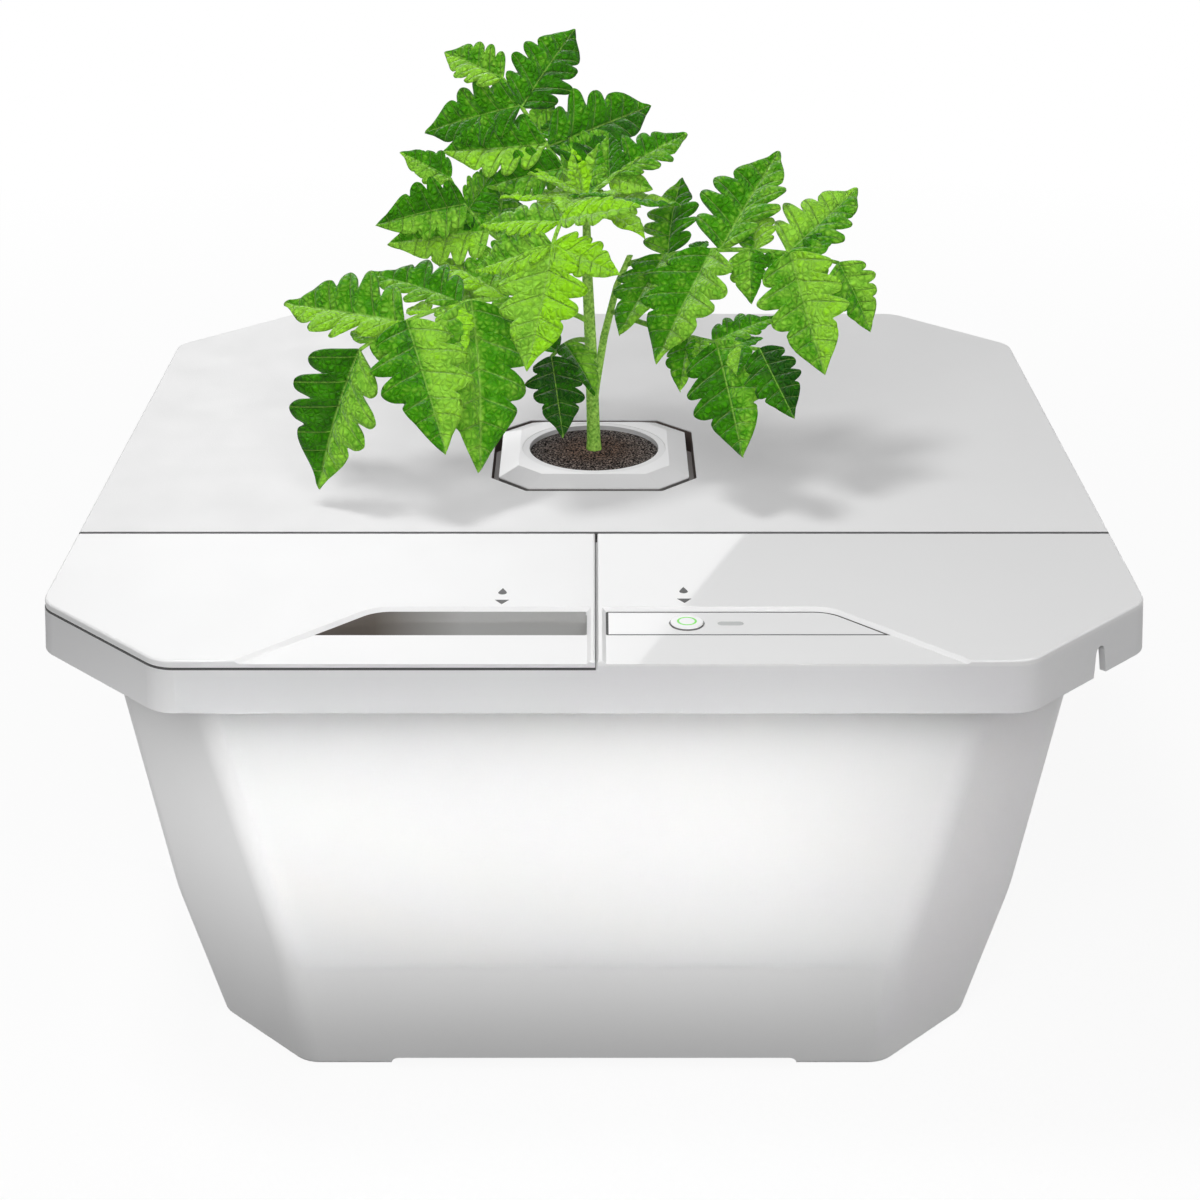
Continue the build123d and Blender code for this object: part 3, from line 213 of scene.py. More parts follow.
# %% Soft boxes
SHEEN_LEAN = 36.3
SHEEN_PLACE = Vector((-0.39, 2.0, 1.065))
SHEEN_SIZE = (0.95, 0.85)
SHEEN_POWER = 8.6
LIGHTS = {
    "key_box": dict(place=(-0.33, -0.16, 1.38), size=(0.26, 0.26), power=5.2, aim=(0, 0, 0.19)),
    "front_box": dict(place=(-0.08, -1.25, 1.05), size=(1.2, 0.6), power=10.8, aim=(0, -0.1, 0.16)),
    "front_strip": dict(place=(-0.032, -1.25, 0.42), size=(0.32, 0.03), power=0.078,
                        aim=(-0.032, -0.13, 0.1), beam=10.0),
    "side_box": dict(place=(1.1, -0.5, 0.28), size=(0.4, 0.4), power=1.9, aim=(0.12, -0.12, 0.16)),
}


def make_soft_box(name, place, size, power, aim=None, turn=None, beam=180.0, shadow=True):
    """A rectangular lamp; it looks at its aim, or has the turn that is given."""
    lamp = bpy.data.lights.new(name, "AREA")
    lamp.shape = "RECTANGLE"
    lamp.size, lamp.size_y = size
    lamp.energy = power
    lamp.spread = radians(beam)
    lamp.use_shadow = shadow
    box = bpy.data.objects.new(name, lamp)
    if turn is None:
        turn = (Vector(aim) - Vector(place)).to_track_quat("-Z", "Y").to_matrix().to_4x4()
    box.matrix_world = Matrix.Translation(place) @ turn
    box.visible_camera = False
    scene.collection.objects.link(box)


for name, facts in LIGHTS.items():
    make_soft_box(name, **facts)
leaning = Matrix.Rotation(radians(-SHEEN_LEAN), 4, "Y") @ Matrix.Rotation(radians(-90), 4, "X")
make_soft_box("sheen_box", SHEEN_PLACE, SHEEN_SIZE, SHEEN_POWER, turn=leaning, shadow=False)
print("soft boxes:", ", ".join(LIGHTS), "and sheen_box")

# %% [markdown]
# ## Plastics
# Every moulded piece is a white or grey plastic, and what tells them apart is their surface. A small
# helper makes a Principled material with its constant values on the shader's own sockets. A second helper
# adds what the eye reads as moulded plastic: a slight drift of tone, a drift of roughness, and a fine
# grain as bump.

# %% Nodes of a finish


def new_finish(name, color, roughness, **sockets):
    """A Principled material; the keywords are further sockets with spaces written as underscores."""
    made = bpy.data.materials.new(name)
    made.use_nodes = True
    shader = made.node_tree.nodes["Principled BSDF"]
    shader.inputs["Base Color"].default_value = (*color, 1)
    shader.inputs["Roughness"].default_value = roughness
    for socket, value in sockets.items():
        shader.inputs[socket.replace("_", " ")].default_value = value
    return made


def noise_of(tree, scale, detail=3.0):
    """Factor of a noise texture on Object coordinates."""
    place = tree.nodes.new("ShaderNodeTexCoord")
    cloud = tree.nodes.new("ShaderNodeTexNoise")
    cloud.inputs["Scale"].default_value = scale
    cloud.inputs["Detail"].default_value = detail
    tree.links.new(place.outputs["Object"], cloud.inputs["Vector"])
    return cloud.outputs["Fac"]


def ramp(tree, factor, low, high, start=0.3, end=0.7):
    """Colour that goes from low to high as the factor goes from start to end."""
    node = tree.nodes.new("ShaderNodeValToRGB")
    node.color_ramp.elements[0].position = start
    node.color_ramp.elements[1].position = end
    node.color_ramp.elements[0].color = (*low, 1)
    node.color_ramp.elements[1].color = (*high, 1)
    tree.links.new(factor, node.inputs["Fac"])
    return node.outputs["Color"]


def spread(tree, factor, low, high):
    """Number that goes from low to high with a factor."""
    node = tree.nodes.new("ShaderNodeMapRange")
    node.inputs["To Min"].default_value = low
    node.inputs["To Max"].default_value = high
    tree.links.new(factor, node.inputs["Value"])
    return node.outputs[0]


def bump(tree, height, distance):
    """Bump on the shader's normal."""
    node = tree.nodes.new("ShaderNodeBump")
    node.inputs["Distance"].default_value = distance
    node.inputs["Strength"].default_value = 1.0
    tree.links.new(height, node.inputs["Height"])
    tree.links.new(node.outputs["Normal"], tree.nodes["Principled BSDF"].inputs["Normal"])


print("node helpers ready")

# %% Moulded plastic
TONE_SCALE = 9.0
GLOSS_SCALE = 60.0
GLOSS_DRIFT = 0.15


def moulded(name, color, roughness, drift=0.02, grain=1800.0, depth=0.02, **sockets):
    """Moulded plastic: a slight drift of tone and gloss, and a fine grain."""
    made = new_finish(name, color, roughness, **sockets)
    tree = made.node_tree
    shader = tree.nodes["Principled BSDF"]
    low = tuple(c * (1 - drift) for c in color)
    tree.links.new(ramp(tree, noise_of(tree, TONE_SCALE), low, color), shader.inputs["Base Color"])
    patches = noise_of(tree, GLOSS_SCALE)
    gloss = spread(tree, patches, roughness * (1 - GLOSS_DRIFT), roughness * (1 + GLOSS_DRIFT))
    tree.links.new(gloss, shader.inputs["Roughness"])
    bump(tree, noise_of(tree, grain, 2.0), depth * MM)
    return made


def dress(material, *nodes):
    """Put a finish on measured pieces."""
    for node in nodes:
        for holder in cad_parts[node].material_slots:
            holder.material = material


print("moulded plastic ready")

# %% [markdown]
# Painted shade keeps some places dark: the pot's well, the thin gaps along the lids' edges and the walls of
# the fill slot. The shade could be painted on an image, but then each piece would need a UV map. A mask
# from the piece's own coordinates needs none and stays sharp close up, so a few Math nodes mark a height, a
# strip or an octagon.

# %% Masks from a piece's own coordinates
LID_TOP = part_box("rear_lid")[1].z
FAR = 1.0


def own_place(tree):
    """X, Y and Z of the piece's own coordinates."""
    split = tree.nodes.new("ShaderNodeSeparateXYZ")
    tree.links.new(tree.nodes.new("ShaderNodeTexCoord").outputs["Object"], split.inputs[0])
    return split.outputs


def step_mask(tree, value, start, end):
    """0 up to the start and 1 from the end on; it falls where the end is the smaller one."""
    node = tree.nodes.new("ShaderNodeMapRange")
    node.inputs["From Min"].default_value = start
    node.inputs["From Max"].default_value = end
    tree.links.new(value, node.inputs["Value"])
    return node.outputs[0]


def inside_mask(tree, half, diagonal, low, high):
    """1 inside an upright octagonal prism: half width, diagonal reach, and two heights."""
    x, y, z = own_place(tree)
    x, y = math_node(tree, "ABSOLUTE", x), math_node(tree, "ABSOLUTE", y)
    mask = math_node(tree, "LESS_THAN", math_node(tree, "MAXIMUM", x, y), half)
    bounds = (
        (math_node(tree, "ADD", x, y), "LESS_THAN", diagonal),
        (z, "GREATER_THAN", low),
        (z, "LESS_THAN", high),
    )
    for value, operation, limit in bounds:
        mask = math_node(tree, "MULTIPLY", mask, math_node(tree, operation, value, limit))
    return mask


def below_mask(tree, high):
    """1 on all of a piece that is under a height."""
    return inside_mask(tree, FAR, FAR, 0, high)


print("lid top at", round(LID_TOP, 4))

# %% Bands, and a tone where a mask is


def near_value(tree, value, middle, reach):
    """1 where a value is within reach of the middle."""
    away = math_node(tree, "ABSOLUTE", math_node(tree, "SUBTRACT", value, middle))
    return math_node(tree, "LESS_THAN", away, reach)


def tone_down(made, mask, color):
    """Change a material's colour where a mask is 1; the colour is a tuple or a socket."""
    tree = made.node_tree
    base = tree.nodes["Principled BSDF"].inputs["Base Color"]
    mix = tree.nodes.new("ShaderNodeMix")
    mix.data_type = "RGBA"
    tree.links.new(mask, mix.inputs["Factor"])
    tree.links.new(base.links[0].from_socket, mix.inputs["A"])
    if isinstance(color, tuple):
        mix.inputs["B"].default_value = (*color, 1)
    else:
        tree.links.new(color, mix.inputs["B"])
    tree.links.new(mix.outputs["Result"], base)
    return made


print("mask helpers ready")

# %% [markdown]
# The rear lid is a satin plate with a fine spark grain, and the collar in its well is smoother and whiter.
# Both are single mouldings, so each has one finish. The pot's well and the collar's wall below the lid's
# top lie in the gap between them and get painted shade, and so does the lid's front edge along the seam.

# %% Rear lid and collar
# Painted shade: brown in the pot's well, grey on walls inside gaps, and near-black in the thin gaps along
# the lids' edges and round the button.
PAINTED_WELL_SHADE = (0.17, 0.135, 0.12)
PAINTED_WALL_SHADE = (0.2, 0.195, 0.19)
PAINTED_GAP_SHADE = (0.06, 0.06, 0.06)
WELL_HALF = 42.5 * MM
WELL_DIAGONAL = 72 * MM
WELL_TOP = LID_TOP - 0.4 * MM
SEAM_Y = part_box("rear_lid")[0].y
LID_EDGE = 0.55 * MM


def lid_finish():
    """White satin; the pot's well has painted brown shade, and the edge along the front seam has painted
    dark shade.
    """
    made = moulded("lid_satin", (0.81, 0.81, 0.81), 0.5, grain=1500.0, depth=0.05)
    tree = made.node_tree
    # Painted brown shade in the pot's well.
    tone_down(made, inside_mask(tree, WELL_HALF, WELL_DIAGONAL, 0, WELL_TOP), PAINTED_WELL_SHADE)
    # Painted dark shade along the lid's front edge at the seam.
    front_edge = math_node(tree, "LESS_THAN", own_place(tree)["Y"], SEAM_Y + LID_EDGE)
    return tone_down(made, front_edge, PAINTED_GAP_SHADE)


def collar_finish():
    """White satin with painted grey shade below the lid's top."""
    made = moulded("collar_satin", (0.9, 0.9, 0.9), 0.3, grain=1500.0, depth=0.012)
    # Painted grey shade on the collar's wall below the lid's top.
    return tone_down(made, below_mask(made.node_tree, WELL_TOP), PAINTED_WALL_SHADE)


dress(lid_finish(), "rear_lid")
dress(collar_finish(), "pot_collar")
print("front seam at", round(SEAM_Y, 4))

# %% [markdown]
# The fill cover is a whiter satin than the lid. Under its slot a chute leads the water down. Its walls lie
# in the shade and get painted shade: grey near the middle seam, and browner towards the far end. A ramp
# along X gives that change.

# %% Fill cover
# Painted shade for the slot's walls and the chute: grey, then browner towards the far end.
CHUTE_SHADE_GREY = (0.5, 0.5, 0.49)
CHUTE_SHADE_BROWN = (0.17, 0.15, 0.13)
CHUTE_FADE = (-45 * MM, -75 * MM)
SLOT_MIDDLE = Vector((-50.0, -158.4)) * MM
SLOT_HALF = Vector((47.2, 9.9)) * MM
SLOT_TOP = LID_TOP - 1.35 * MM
LID_UNDER = LID_TOP - 2.6 * MM


def cover_finish():
    """White satin; the slot's walls and the chute have painted shade, grey and browner towards the far end.
    """
    made = moulded("cover_satin", (0.85, 0.85, 0.85), 0.3, grain=1500.0, depth=0.012,
                   Specular_IOR_Level=0.15)
    tree = made.node_tree
    x, y, _ = own_place(tree)
    chute = ramp(tree, step_mask(tree, x, *CHUTE_FADE), CHUTE_SHADE_GREY, CHUTE_SHADE_BROWN, 0, 1)
    in_slot = math_node(tree, "MULTIPLY", near_value(tree, x, SLOT_MIDDLE.x, SLOT_HALF.x),
                        near_value(tree, y, SLOT_MIDDLE.y, SLOT_HALF.y))
    # The slot's walls and everything under the cover get the painted shade.
    slot_wall = math_node(tree, "MULTIPLY", in_slot, below_mask(tree, SLOT_TOP))
    return tone_down(made, math_node(tree, "MAXIMUM", slot_wall, below_mask(tree, LID_UNDER)), chute)


dress(cover_finish(), "fill_cover")
print("slot walls from", round(SLOT_TOP, 4), "down")

# %% [markdown]
# The deck is polished. The skirt under it belongs to the same moulding, but its outside wall has a duller,
# greyer grain. Two materials would need the faces sorted, so one finish changes with the height on the
# piece. The same piece has the ledge that the lids rest on, and thin lines of painted shade on it stand for
# the gaps along their edges.

# %% Deck and skirt
SKIRT_EDGE = LID_TOP - 1.7 * MM
SKIRT_BLEND = 0.5 * MM
SKIRT_GREY = (0.74, 0.74, 0.745)
DECK_ROUGH = 0.03
SKIRT_ROUGH = 0.42
LEDGE = (LID_TOP - 3.4 * MM, LID_TOP - 2.4 * MM)
LEDGE_HALF = 185.5 * MM
LEDGE_DIAGONAL = 325 * MM
SEAM_REACH = 2.0 * MM
SEAM_HALF = 0.6 * MM


def deck_and_skirt():
    """Polished deck, grained grey skirt, and thin lines of painted shade on the ledge along the lids'
    edges.
    """
    made = moulded("deck_polish", (0.82, 0.82, 0.82), DECK_ROUGH, grain=700.0, depth=0.001,
                   Specular_IOR_Level=0.08)
    tree = made.node_tree
    x, y, z = own_place(tree)
    skirt = step_mask(tree, z, SKIRT_EDGE, SKIRT_EDGE - SKIRT_BLEND)
    tone_down(made, skirt, SKIRT_GREY)
    ledge = inside_mask(tree, FAR, FAR, *LEDGE)
    inner = inside_mask(tree, LEDGE_HALF, LEDGE_DIAGONAL, *LEDGE)
    lid_side = math_node(tree, "MAXIMUM", math_node(tree, "LESS_THAN", x, 0.0),
                         math_node(tree, "GREATER_THAN", y, SEAM_Y))
    rim = math_node(tree, "MULTIPLY", math_node(tree, "SUBTRACT", ledge, inner), lid_side)
    across = near_value(tree, y, SEAM_Y, SEAM_REACH)
    along = math_node(tree, "MULTIPLY", near_value(tree, x, -SEAM_REACH, SEAM_REACH + SEAM_HALF),
                      math_node(tree, "LESS_THAN", y, SEAM_Y))
    seams = math_node(tree, "MULTIPLY", ledge, math_node(tree, "MAXIMUM", across, along))
    # Painted dark shade on the ledge's rim and along the seams, where the lids' gaps are.
    tone_down(made, math_node(tree, "MAXIMUM", rim, seams), PAINTED_GAP_SHADE)
    gloss = spread(tree, skirt, DECK_ROUGH, SKIRT_ROUGH)
    tree.links.new(gloss, tree.nodes["Principled BSDF"].inputs["Roughness"])
    return made


dress(deck_and_skirt(), "rim_frame")
print("skirt from", round(SKIRT_EDGE, 4), "down")

# %% [markdown]
# The control strip has the deck's polish. A hairline gap runs round its button. A modelled gap would be too
# thin for the picture, so the strip has a ring of painted shade round the button's place, and the button's
# side wall has painted grey shade. The tub and the pot have no such lines, so they take the plain moulded
# finish.

# %% Control strip, button, tub and pot
CAP_LOW, CAP_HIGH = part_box("button_cap")
BUTTON_PLACE = (CAP_LOW + CAP_HIGH) / 2
BUTTON_RING = (CAP_HIGH.x - CAP_LOW.x) / 2 + 0.4 * MM
CAP_EDGE = CAP_HIGH.z - 0.5 * MM


def panel_finish():
    """Polished strip with a thin ring of painted shade round the button."""
    made = moulded("panel_polish", (0.82, 0.82, 0.82), 0.06, depth=0.002, Specular_IOR_Level=0.12)
    tree = made.node_tree
    out = tree.nodes.new("ShaderNodeVectorMath")
    out.operation = "DISTANCE"
    tree.links.new(tree.nodes.new("ShaderNodeTexCoord").outputs["Object"], out.inputs[0])
    out.inputs[1].default_value = (*BUTTON_PLACE.xy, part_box("control_panel")[1].z)
    # Painted dark shade in a ring round the button, for its hairline gap.
    return tone_down(made, math_node(tree, "LESS_THAN", out.outputs["Value"], BUTTON_RING), PAINTED_GAP_SHADE)


def button_finish():
    """White cap with painted grey shade on its side wall."""
    made = moulded("button_white", (0.82, 0.82, 0.82), 0.2, depth=0.003)
    # Painted grey shade on the cap's side wall.
    return tone_down(made, below_mask(made.node_tree, CAP_EDGE), PAINTED_WALL_SHADE)


dress(panel_finish(), "control_panel")
dress(button_finish(), "button_cap")
dress(moulded("tub_soft_gloss", (0.86, 0.86, 0.86), 0.4, grain=900.0, depth=0.02), "reservoir")
dress(moulded("pot_white", (0.84, 0.84, 0.84), 0.35, depth=0.012), "net_pot")
print("casing dressed")

# %% [markdown]
# The small parts follow: black rubber in the panel's line, where the seal also stands in for the shade of
# that thin gap, and in the feet, a lit green ring, a grey light window, and the plain blacks and greys of
# the works inside, which show when the lids are lifted. The ring could be a lamp, but a finish that glows a
# little gives no stray green light.

# %% Small parts and inner works
GREEN_LIGHT = (0.1, 0.5, 0.03)
GREEN_GLOW = 0.35
RING_GRAIN = 900.0
RING_RELIEF = 0.01 * MM

glow = new_finish("ring_light", GREEN_LIGHT, 0.3, Emission_Color=(*GREEN_LIGHT, 1),
                  Emission_Strength=GREEN_GLOW)
bump(glow.node_tree, noise_of(glow.node_tree, RING_GRAIN), RING_RELIEF)
dress(glow, "button_glow")
dress(moulded("light_window", (0.42, 0.43, 0.43), 0.35, depth=0.01), "status_light")
# The panel's black seal stands in for the shade of its thin gap. The gasket and the feet are black rubber.
dress(moulded("black_rubber", (0.025, 0.025, 0.025), 0.6, drift=0.2, depth=0.03),
      "panel_seal", "housing_gasket", "pump_feet")
dress(moulded("inner_black", (0.035, 0.035, 0.035), 0.45, drift=0.15, depth=0.03),
      "switch_plunger", "tact_switch", "power_jack", "pump_body", "pump_cover")
dress(moulded("inner_grey", (0.42, 0.43, 0.44), 0.45, drift=0.06, depth=0.03),
      "control_housing", "air_pump", "pump_impeller", "hose_nozzle")
dress(moulded("bare_steel", (0.6, 0.6, 0.6), 0.28, drift=0.1, grain=400.0, Metallic=1.0),
      "housing_screws", "pump_shaft")
dress(moulded("board_coat", (0.03, 0.16, 0.06), 0.35, drift=0.25), "circuit_board")
dress(moulded("milky_hose", (0.7, 0.73, 0.73), 0.3, drift=0.06, depth=0.01), "drain_hose", "air_line")
dress(moulded("porous_stone", (0.42, 0.44, 0.47), 0.9, drift=0.4, grain=700.0, depth=0.4), "air_stone")
print("small parts and inner works dressed")

# %% [markdown]
# ## Printed marks
# The photograph's deck has a small printed pointer over the fill slot and one over the drain button. They
# are thin prints. An image would blur close up, so each is a flat triangle raised by a hair. A plain drop
# above each pointer says that both are for water.

# %% A piece that rides on a body


def new_piece(name, form, body, material, smooth=False):
    """Turn a bmesh into a piece that rides on a body."""
    mesh = bpy.data.meshes.new(name)
    form.to_mesh(mesh)
    form.free()
    mesh.materials.append(material)
    if smooth:
        mesh.shade_smooth()
    piece = bpy.data.objects.new(name, mesh)
    scene.collection.objects.link(piece)
    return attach(piece, body)


# %% Pointers and drops
PRINT_T = 0.04 * MM
POINTER_HALF = 2.5 * MM
POINTER_DEEP = 3.7 * MM
DROP_R = 1.5 * MM
DROP_SIDES = 32
DROP_TALL = 3.6
DROP_TAPER = ((2, 0.6), (8, 0.4))
DROP_AWAY = 6.0 * MM
MARKS = {"fill": ((-31.7 * MM, -142.0 * MM), "fill_cover"), "drain": ((31.1 * MM, -141.0 * MM), "tub")}


def raise_print(form, faces):
    """Give flat faces the thickness of a print."""
    grown = bmesh.ops.extrude_face_region(form, geom=faces)["geom"]
    up = [v for v in grown if isinstance(v, bmesh.types.BMVert)]
    bmesh.ops.translate(form, verts=up, vec=(0, 0, PRINT_T))
    bmesh.ops.recalc_face_normals(form, faces=form.faces)


def make_mark(name, place, body, ink):
    """A pointer with its point to the front, and a drop behind it."""
    form = bmesh.new()
    pointer = bmesh.ops.create_circle(form, segments=3, radius=1, cap_ends=True)["verts"]
    high = max(v.co.y for v in pointer)
    low = min(v.co.y for v in pointer)
    wide = max(v.co.x for v in pointer)
    for v in pointer:
        v.co.x *= POINTER_HALF / wide
        v.co.y = -(v.co.y - low) / (high - low) * POINTER_DEEP
    drop = bmesh.ops.create_circle(form, segments=DROP_SIDES, radius=DROP_R, cap_ends=True)["verts"]
    for v in drop:
        rise = max(v.co.y / DROP_R, 0)
        v.co.x *= 1 - sum(rise ** power * share for power, share in DROP_TAPER)
        v.co.y = v.co.y * (1 + rise * (DROP_TALL - 2)) + DROP_AWAY
    raise_print(form, form.faces[:])
    bmesh.ops.translate(form, verts=form.verts, vec=(*place, LID_TOP))
    return new_piece(name, form, body, ink)


ink = moulded("dark_print", (0.03, 0.03, 0.03), 0.5, drift=0.2)
for name, (place, body) in MARKS.items():
    make_mark(name + "_pointer", place, body, ink)
print("printed marks:", ", ".join(MARKS))

# %% [markdown]
# ## Damp coir
# The pot is full of dark, damp coir. The measured plug stays underneath, and a crumbly skin goes over its
# top: a disc shaped from a grid, roughened by noise, with a few hundred small lumps pressed into it. Bump
# alone would leave the edge against the pot a clean line.

# %% Coir's height and finish
COIR_R = 25.4 * MM
COIR_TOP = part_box("growing_medium")[1].z
COIR_DOME = 1.4 * MM
COIR_ROUGH = 0.55 * MM
LUMP_SCALE = 420
LUMP_NOISE = (0.7, 2.2, 4)
LUMP_LIFT = 0.35
LUMP_SHARE = 0.5
GRAIN_SCALE = 1400.0
GRAIN_RELIEF = 0.4 * MM
GRAIN_STOPS = (0.46, 0.74)
DAMP_TONES = ((0.005, 0.003, 0.002), (0.46, 0.3, 0.215))
DRY_TONES = ((0.006, 0.005, 0.005), (0.62, 0.57, 0.53))
DRY_REACH = (0.35 * COIR_R, 1.1 * COIR_R)


def coir_height(x, y):
    """Height of the coir's skin: a low dome with crumbly noise."""
    out = (x * x + y * y) / COIR_R ** 2
    lumps = noise.fractal(Vector((x, y, 0)) * LUMP_SCALE, *LUMP_NOISE)
    return COIR_TOP - COIR_DOME * out + COIR_ROUGH * (LUMP_LIFT + LUMP_SHARE * lumps)


def coir_finish():
    """Brown grains, drier and greyer towards the pot's wall."""
    made = new_finish("damp_coir", (0.045, 0.024, 0.013), 0.85, Specular_IOR_Level=0.1)
    tree = made.node_tree
    shader = tree.nodes["Principled BSDF"]
    fine = noise_of(tree, GRAIN_SCALE, 4.0)
    tree.links.new(ramp(tree, fine, *DAMP_TONES, *GRAIN_STOPS), shader.inputs["Base Color"])
    bump(tree, fine, GRAIN_RELIEF)
    x, y, _ = own_place(tree)
    squares = [math_node(tree, "MULTIPLY", value, value) for value in (x, y)]
    out = math_node(tree, "SQRT", math_node(tree, "ADD", *squares))
    dry = ramp(tree, fine, *DRY_TONES, *GRAIN_STOPS)
    return tone_down(made, step_mask(tree, out, *DRY_REACH), dry)


coir = coir_finish()
dress(coir, "growing_medium")
print("coir top at", round(COIR_TOP, 4))

# %% Coir skin and crumbs
COIR_SEED = 7
COIR_CELLS = 90
CRUMBS = 420
CRUMB_R = (0.35 * MM, 0.95 * MM)
CRUMB_REACH = COIR_R * 0.97
CRUMB_WIDE = (0.5, 1)
CRUMB_TALL = (0.4, 0.8)


def make_coir(finish):
    """Round skin with small lumps on it."""
    draw = random.Random(COIR_SEED)
    form = bmesh.new()
    bmesh.ops.create_grid(form, x_segments=COIR_CELLS, y_segments=COIR_CELLS, size=1)
    for v in form.verts:
        x, y = v.co.x, v.co.y
        v.co.x = COIR_R * x * (1 - y * y / 2) ** 0.5
        v.co.y = COIR_R * y * (1 - x * x / 2) ** 0.5
        v.co.z = coir_height(v.co.x, v.co.y)
    for _ in range(CRUMBS):
        out, turn = CRUMB_REACH * draw.random() ** 0.5, draw.uniform(0, 2 * pi)
        x, y = out * cos(turn), out * sin(turn)
        place = Matrix.Translation((x, y, coir_height(x, y)))
        place = place @ Matrix.Rotation(draw.uniform(0, pi), 4, "Z")
        size = Matrix.Diagonal((1, draw.uniform(*CRUMB_WIDE), draw.uniform(*CRUMB_TALL), 1))
        crumb = draw.uniform(*CRUMB_R)
        bmesh.ops.create_icosphere(form, subdivisions=1, radius=crumb, matrix=place @ size)
    return new_piece("coir_skin", form, "pot", finish, smooth=True)


coir_piece = make_coir(coir)
print("coir skin:", len(coir_piece.data.polygons), "faces")

# %% [markdown]
# ## Tomato plant
# A tomato leaf is compound: an arched rachis carries lobed leaflets, one of them at its end, and tiny
# round ones in between. The measured model has each leaf as flat plates on an arc. Pictures of leaves on
# cards would look flat from the side, so every leaf is grown again on the same arc, with leaflets that
# fold, bend and pucker between their veins.

# %% Where the stems and leaves are
STEM_PLACES = {
    "main": ((0.0, 0.0, 0.0), (-0.01, 0.0, 0.36), (-0.025, 0.0, 0.70), (-0.03, 0.02, 1.0)),
    "side": ((0.0, 0.01, 0.22), (0.04, 0.04, 0.46), (0.09, 0.06, 0.66), (0.14, 0.06, 0.78)),
}
# Leaf: stem and share of its height; heading, slopes, roll and length of the rachis; then the leaflets, the
# end one first, with place on the rachis, spread, droop and length; then tone and the places of the tiny
# leaflets, and for the crown the heading, rise and length of the young leaflets round its bud.
LEAVES = {
    "leaf_upper_left": ("main", 1.0, (148, 48, 50, -40, 0.59), (
        (0.97, 23, 21, 0.29), (0.75, -64, 4, 0.41), (0.76, 62, 27, 0.41), (0.46, 59, 16, 0.41),
        (0.44, -98, 9, 0.48), (0.54, -89, 14, 0.19), (0.27, 66, 10, 0.30), (0.25, -84, 4, 0.28),
    ), 0.5, (0.60, 0.64, 0.86, 0.90)),
    "leaf_left_rear": ("main", 0.71, (178, 1, 76, -42, 0.76), (
        (0.88, 26, 23, 0.21), (0.73, 62, 8, 0.36), (0.70, -79, -3, 0.23), (0.55, 46, 11, 0.39),
        (0.50, -72, 4, 0.32), (0.36, 64, 10, 0.36), (0.33, -60, 6, 0.30),
    ), 0.45, (0.63, 0.66)),
    "leaf_left_front": ("main", 0.5, (212, 34, -28, -29, 1.06), (
        (0.99, 16, 33, 0.56), (0.80, -58, 14, 0.55), (0.79, 73, 6, 0.55), (0.57, -61, 11, 0.42),
        (0.53, 78, 18, 0.65), (0.63, 83, 8, 0.21), (0.38, -66, 6, 0.38), (0.36, 70, 14, 0.34),
    ), 0.66, (0.70, 0.88, 0.92, 0.90)),
    "leaf_front": ("main", 0.42, (237, 29, -28, -24, 0.31), (
        (0.92, 39, 4, 0.34), (0.80, -94, -8, 0.17), (0.60, 70, 6, 0.24),
    ), 0.22, ()),
    "leaf_crown": ("main", 1.0, (254, 24, -37, 4, 0.47), (
        (1.00, 1, 12, 0.49), (1.00, -77, 10, 0.33), (1.00, 71, 6, 0.29), (0.74, -89, -6, 0.32),
        (0.71, 85, -15, 0.33),
    ), 0.88, (), (
        (185, 10, 0.33), (203, 34, 0.28), (160, 36, 0.27), (-6, 8, 0.36), (15, 42, 0.27), (60, 68, 0.23),
        (120, 72, 0.21), (250, 14, 0.30), (290, 24, 0.28), (225, -6, 0.35), (315, -6, 0.32),
    )),
    "leaf_upper_right": ("main", 1.0, (4, 55, 27, 38, 0.18), (
        (0.86, 16, 15, 0.35), (0.72, 66, -4, 0.20), (0.73, -46, 10, 0.17),
    ), 0.6, ()),
    "leaf_right": ("side", 0.9, (-22, 21, -8, 42, 0.87), (
        (1.00, -40, 22, 0.28), (0.21, 89, -10, 0.35), (0.19, -107, -10, 0.39), (0.46, 75, 4, 0.51),
        (0.42, -105, -5, 0.52), (0.77, 66, 10, 0.44), (0.78, -62, 7, 0.51), (0.62, 101, 0, 0.24),
        (0.59, -78, 11, 0.21),
    ), 0.46, (0.32, 0.34, 0.69, 0.88, 0.90)),
    "leaf_right_front": ("side", 0.5, (-45, -5, 8, 33, 0.78), (
        (1.00, -41, 19, 0.33), (0.72, -48, 19, 0.49), (0.70, 66, 13, 0.28), (0.54, -71, 14, 0.22),
    ), 0.34, (0.62, 0.85, 0.88)),
}
print("leaves:", len(LEAVES))

# %% Places on stems and leaves
SOIL_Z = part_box("growing_medium")[1].z
STEM_H = 100 * MM


def stem_point(stem, share):
    """Middle of a stem at a share of the way along its stations."""
    places = STEM_PLACES[stem]
    spans = len(places) - 1
    first = min(int(share * spans), spans - 1)
    middle = Vector(places[first]).lerp(Vector(places[first + 1]), share * spans - first)
    return middle * STEM_H + Vector((0, 0, SOIL_Z))


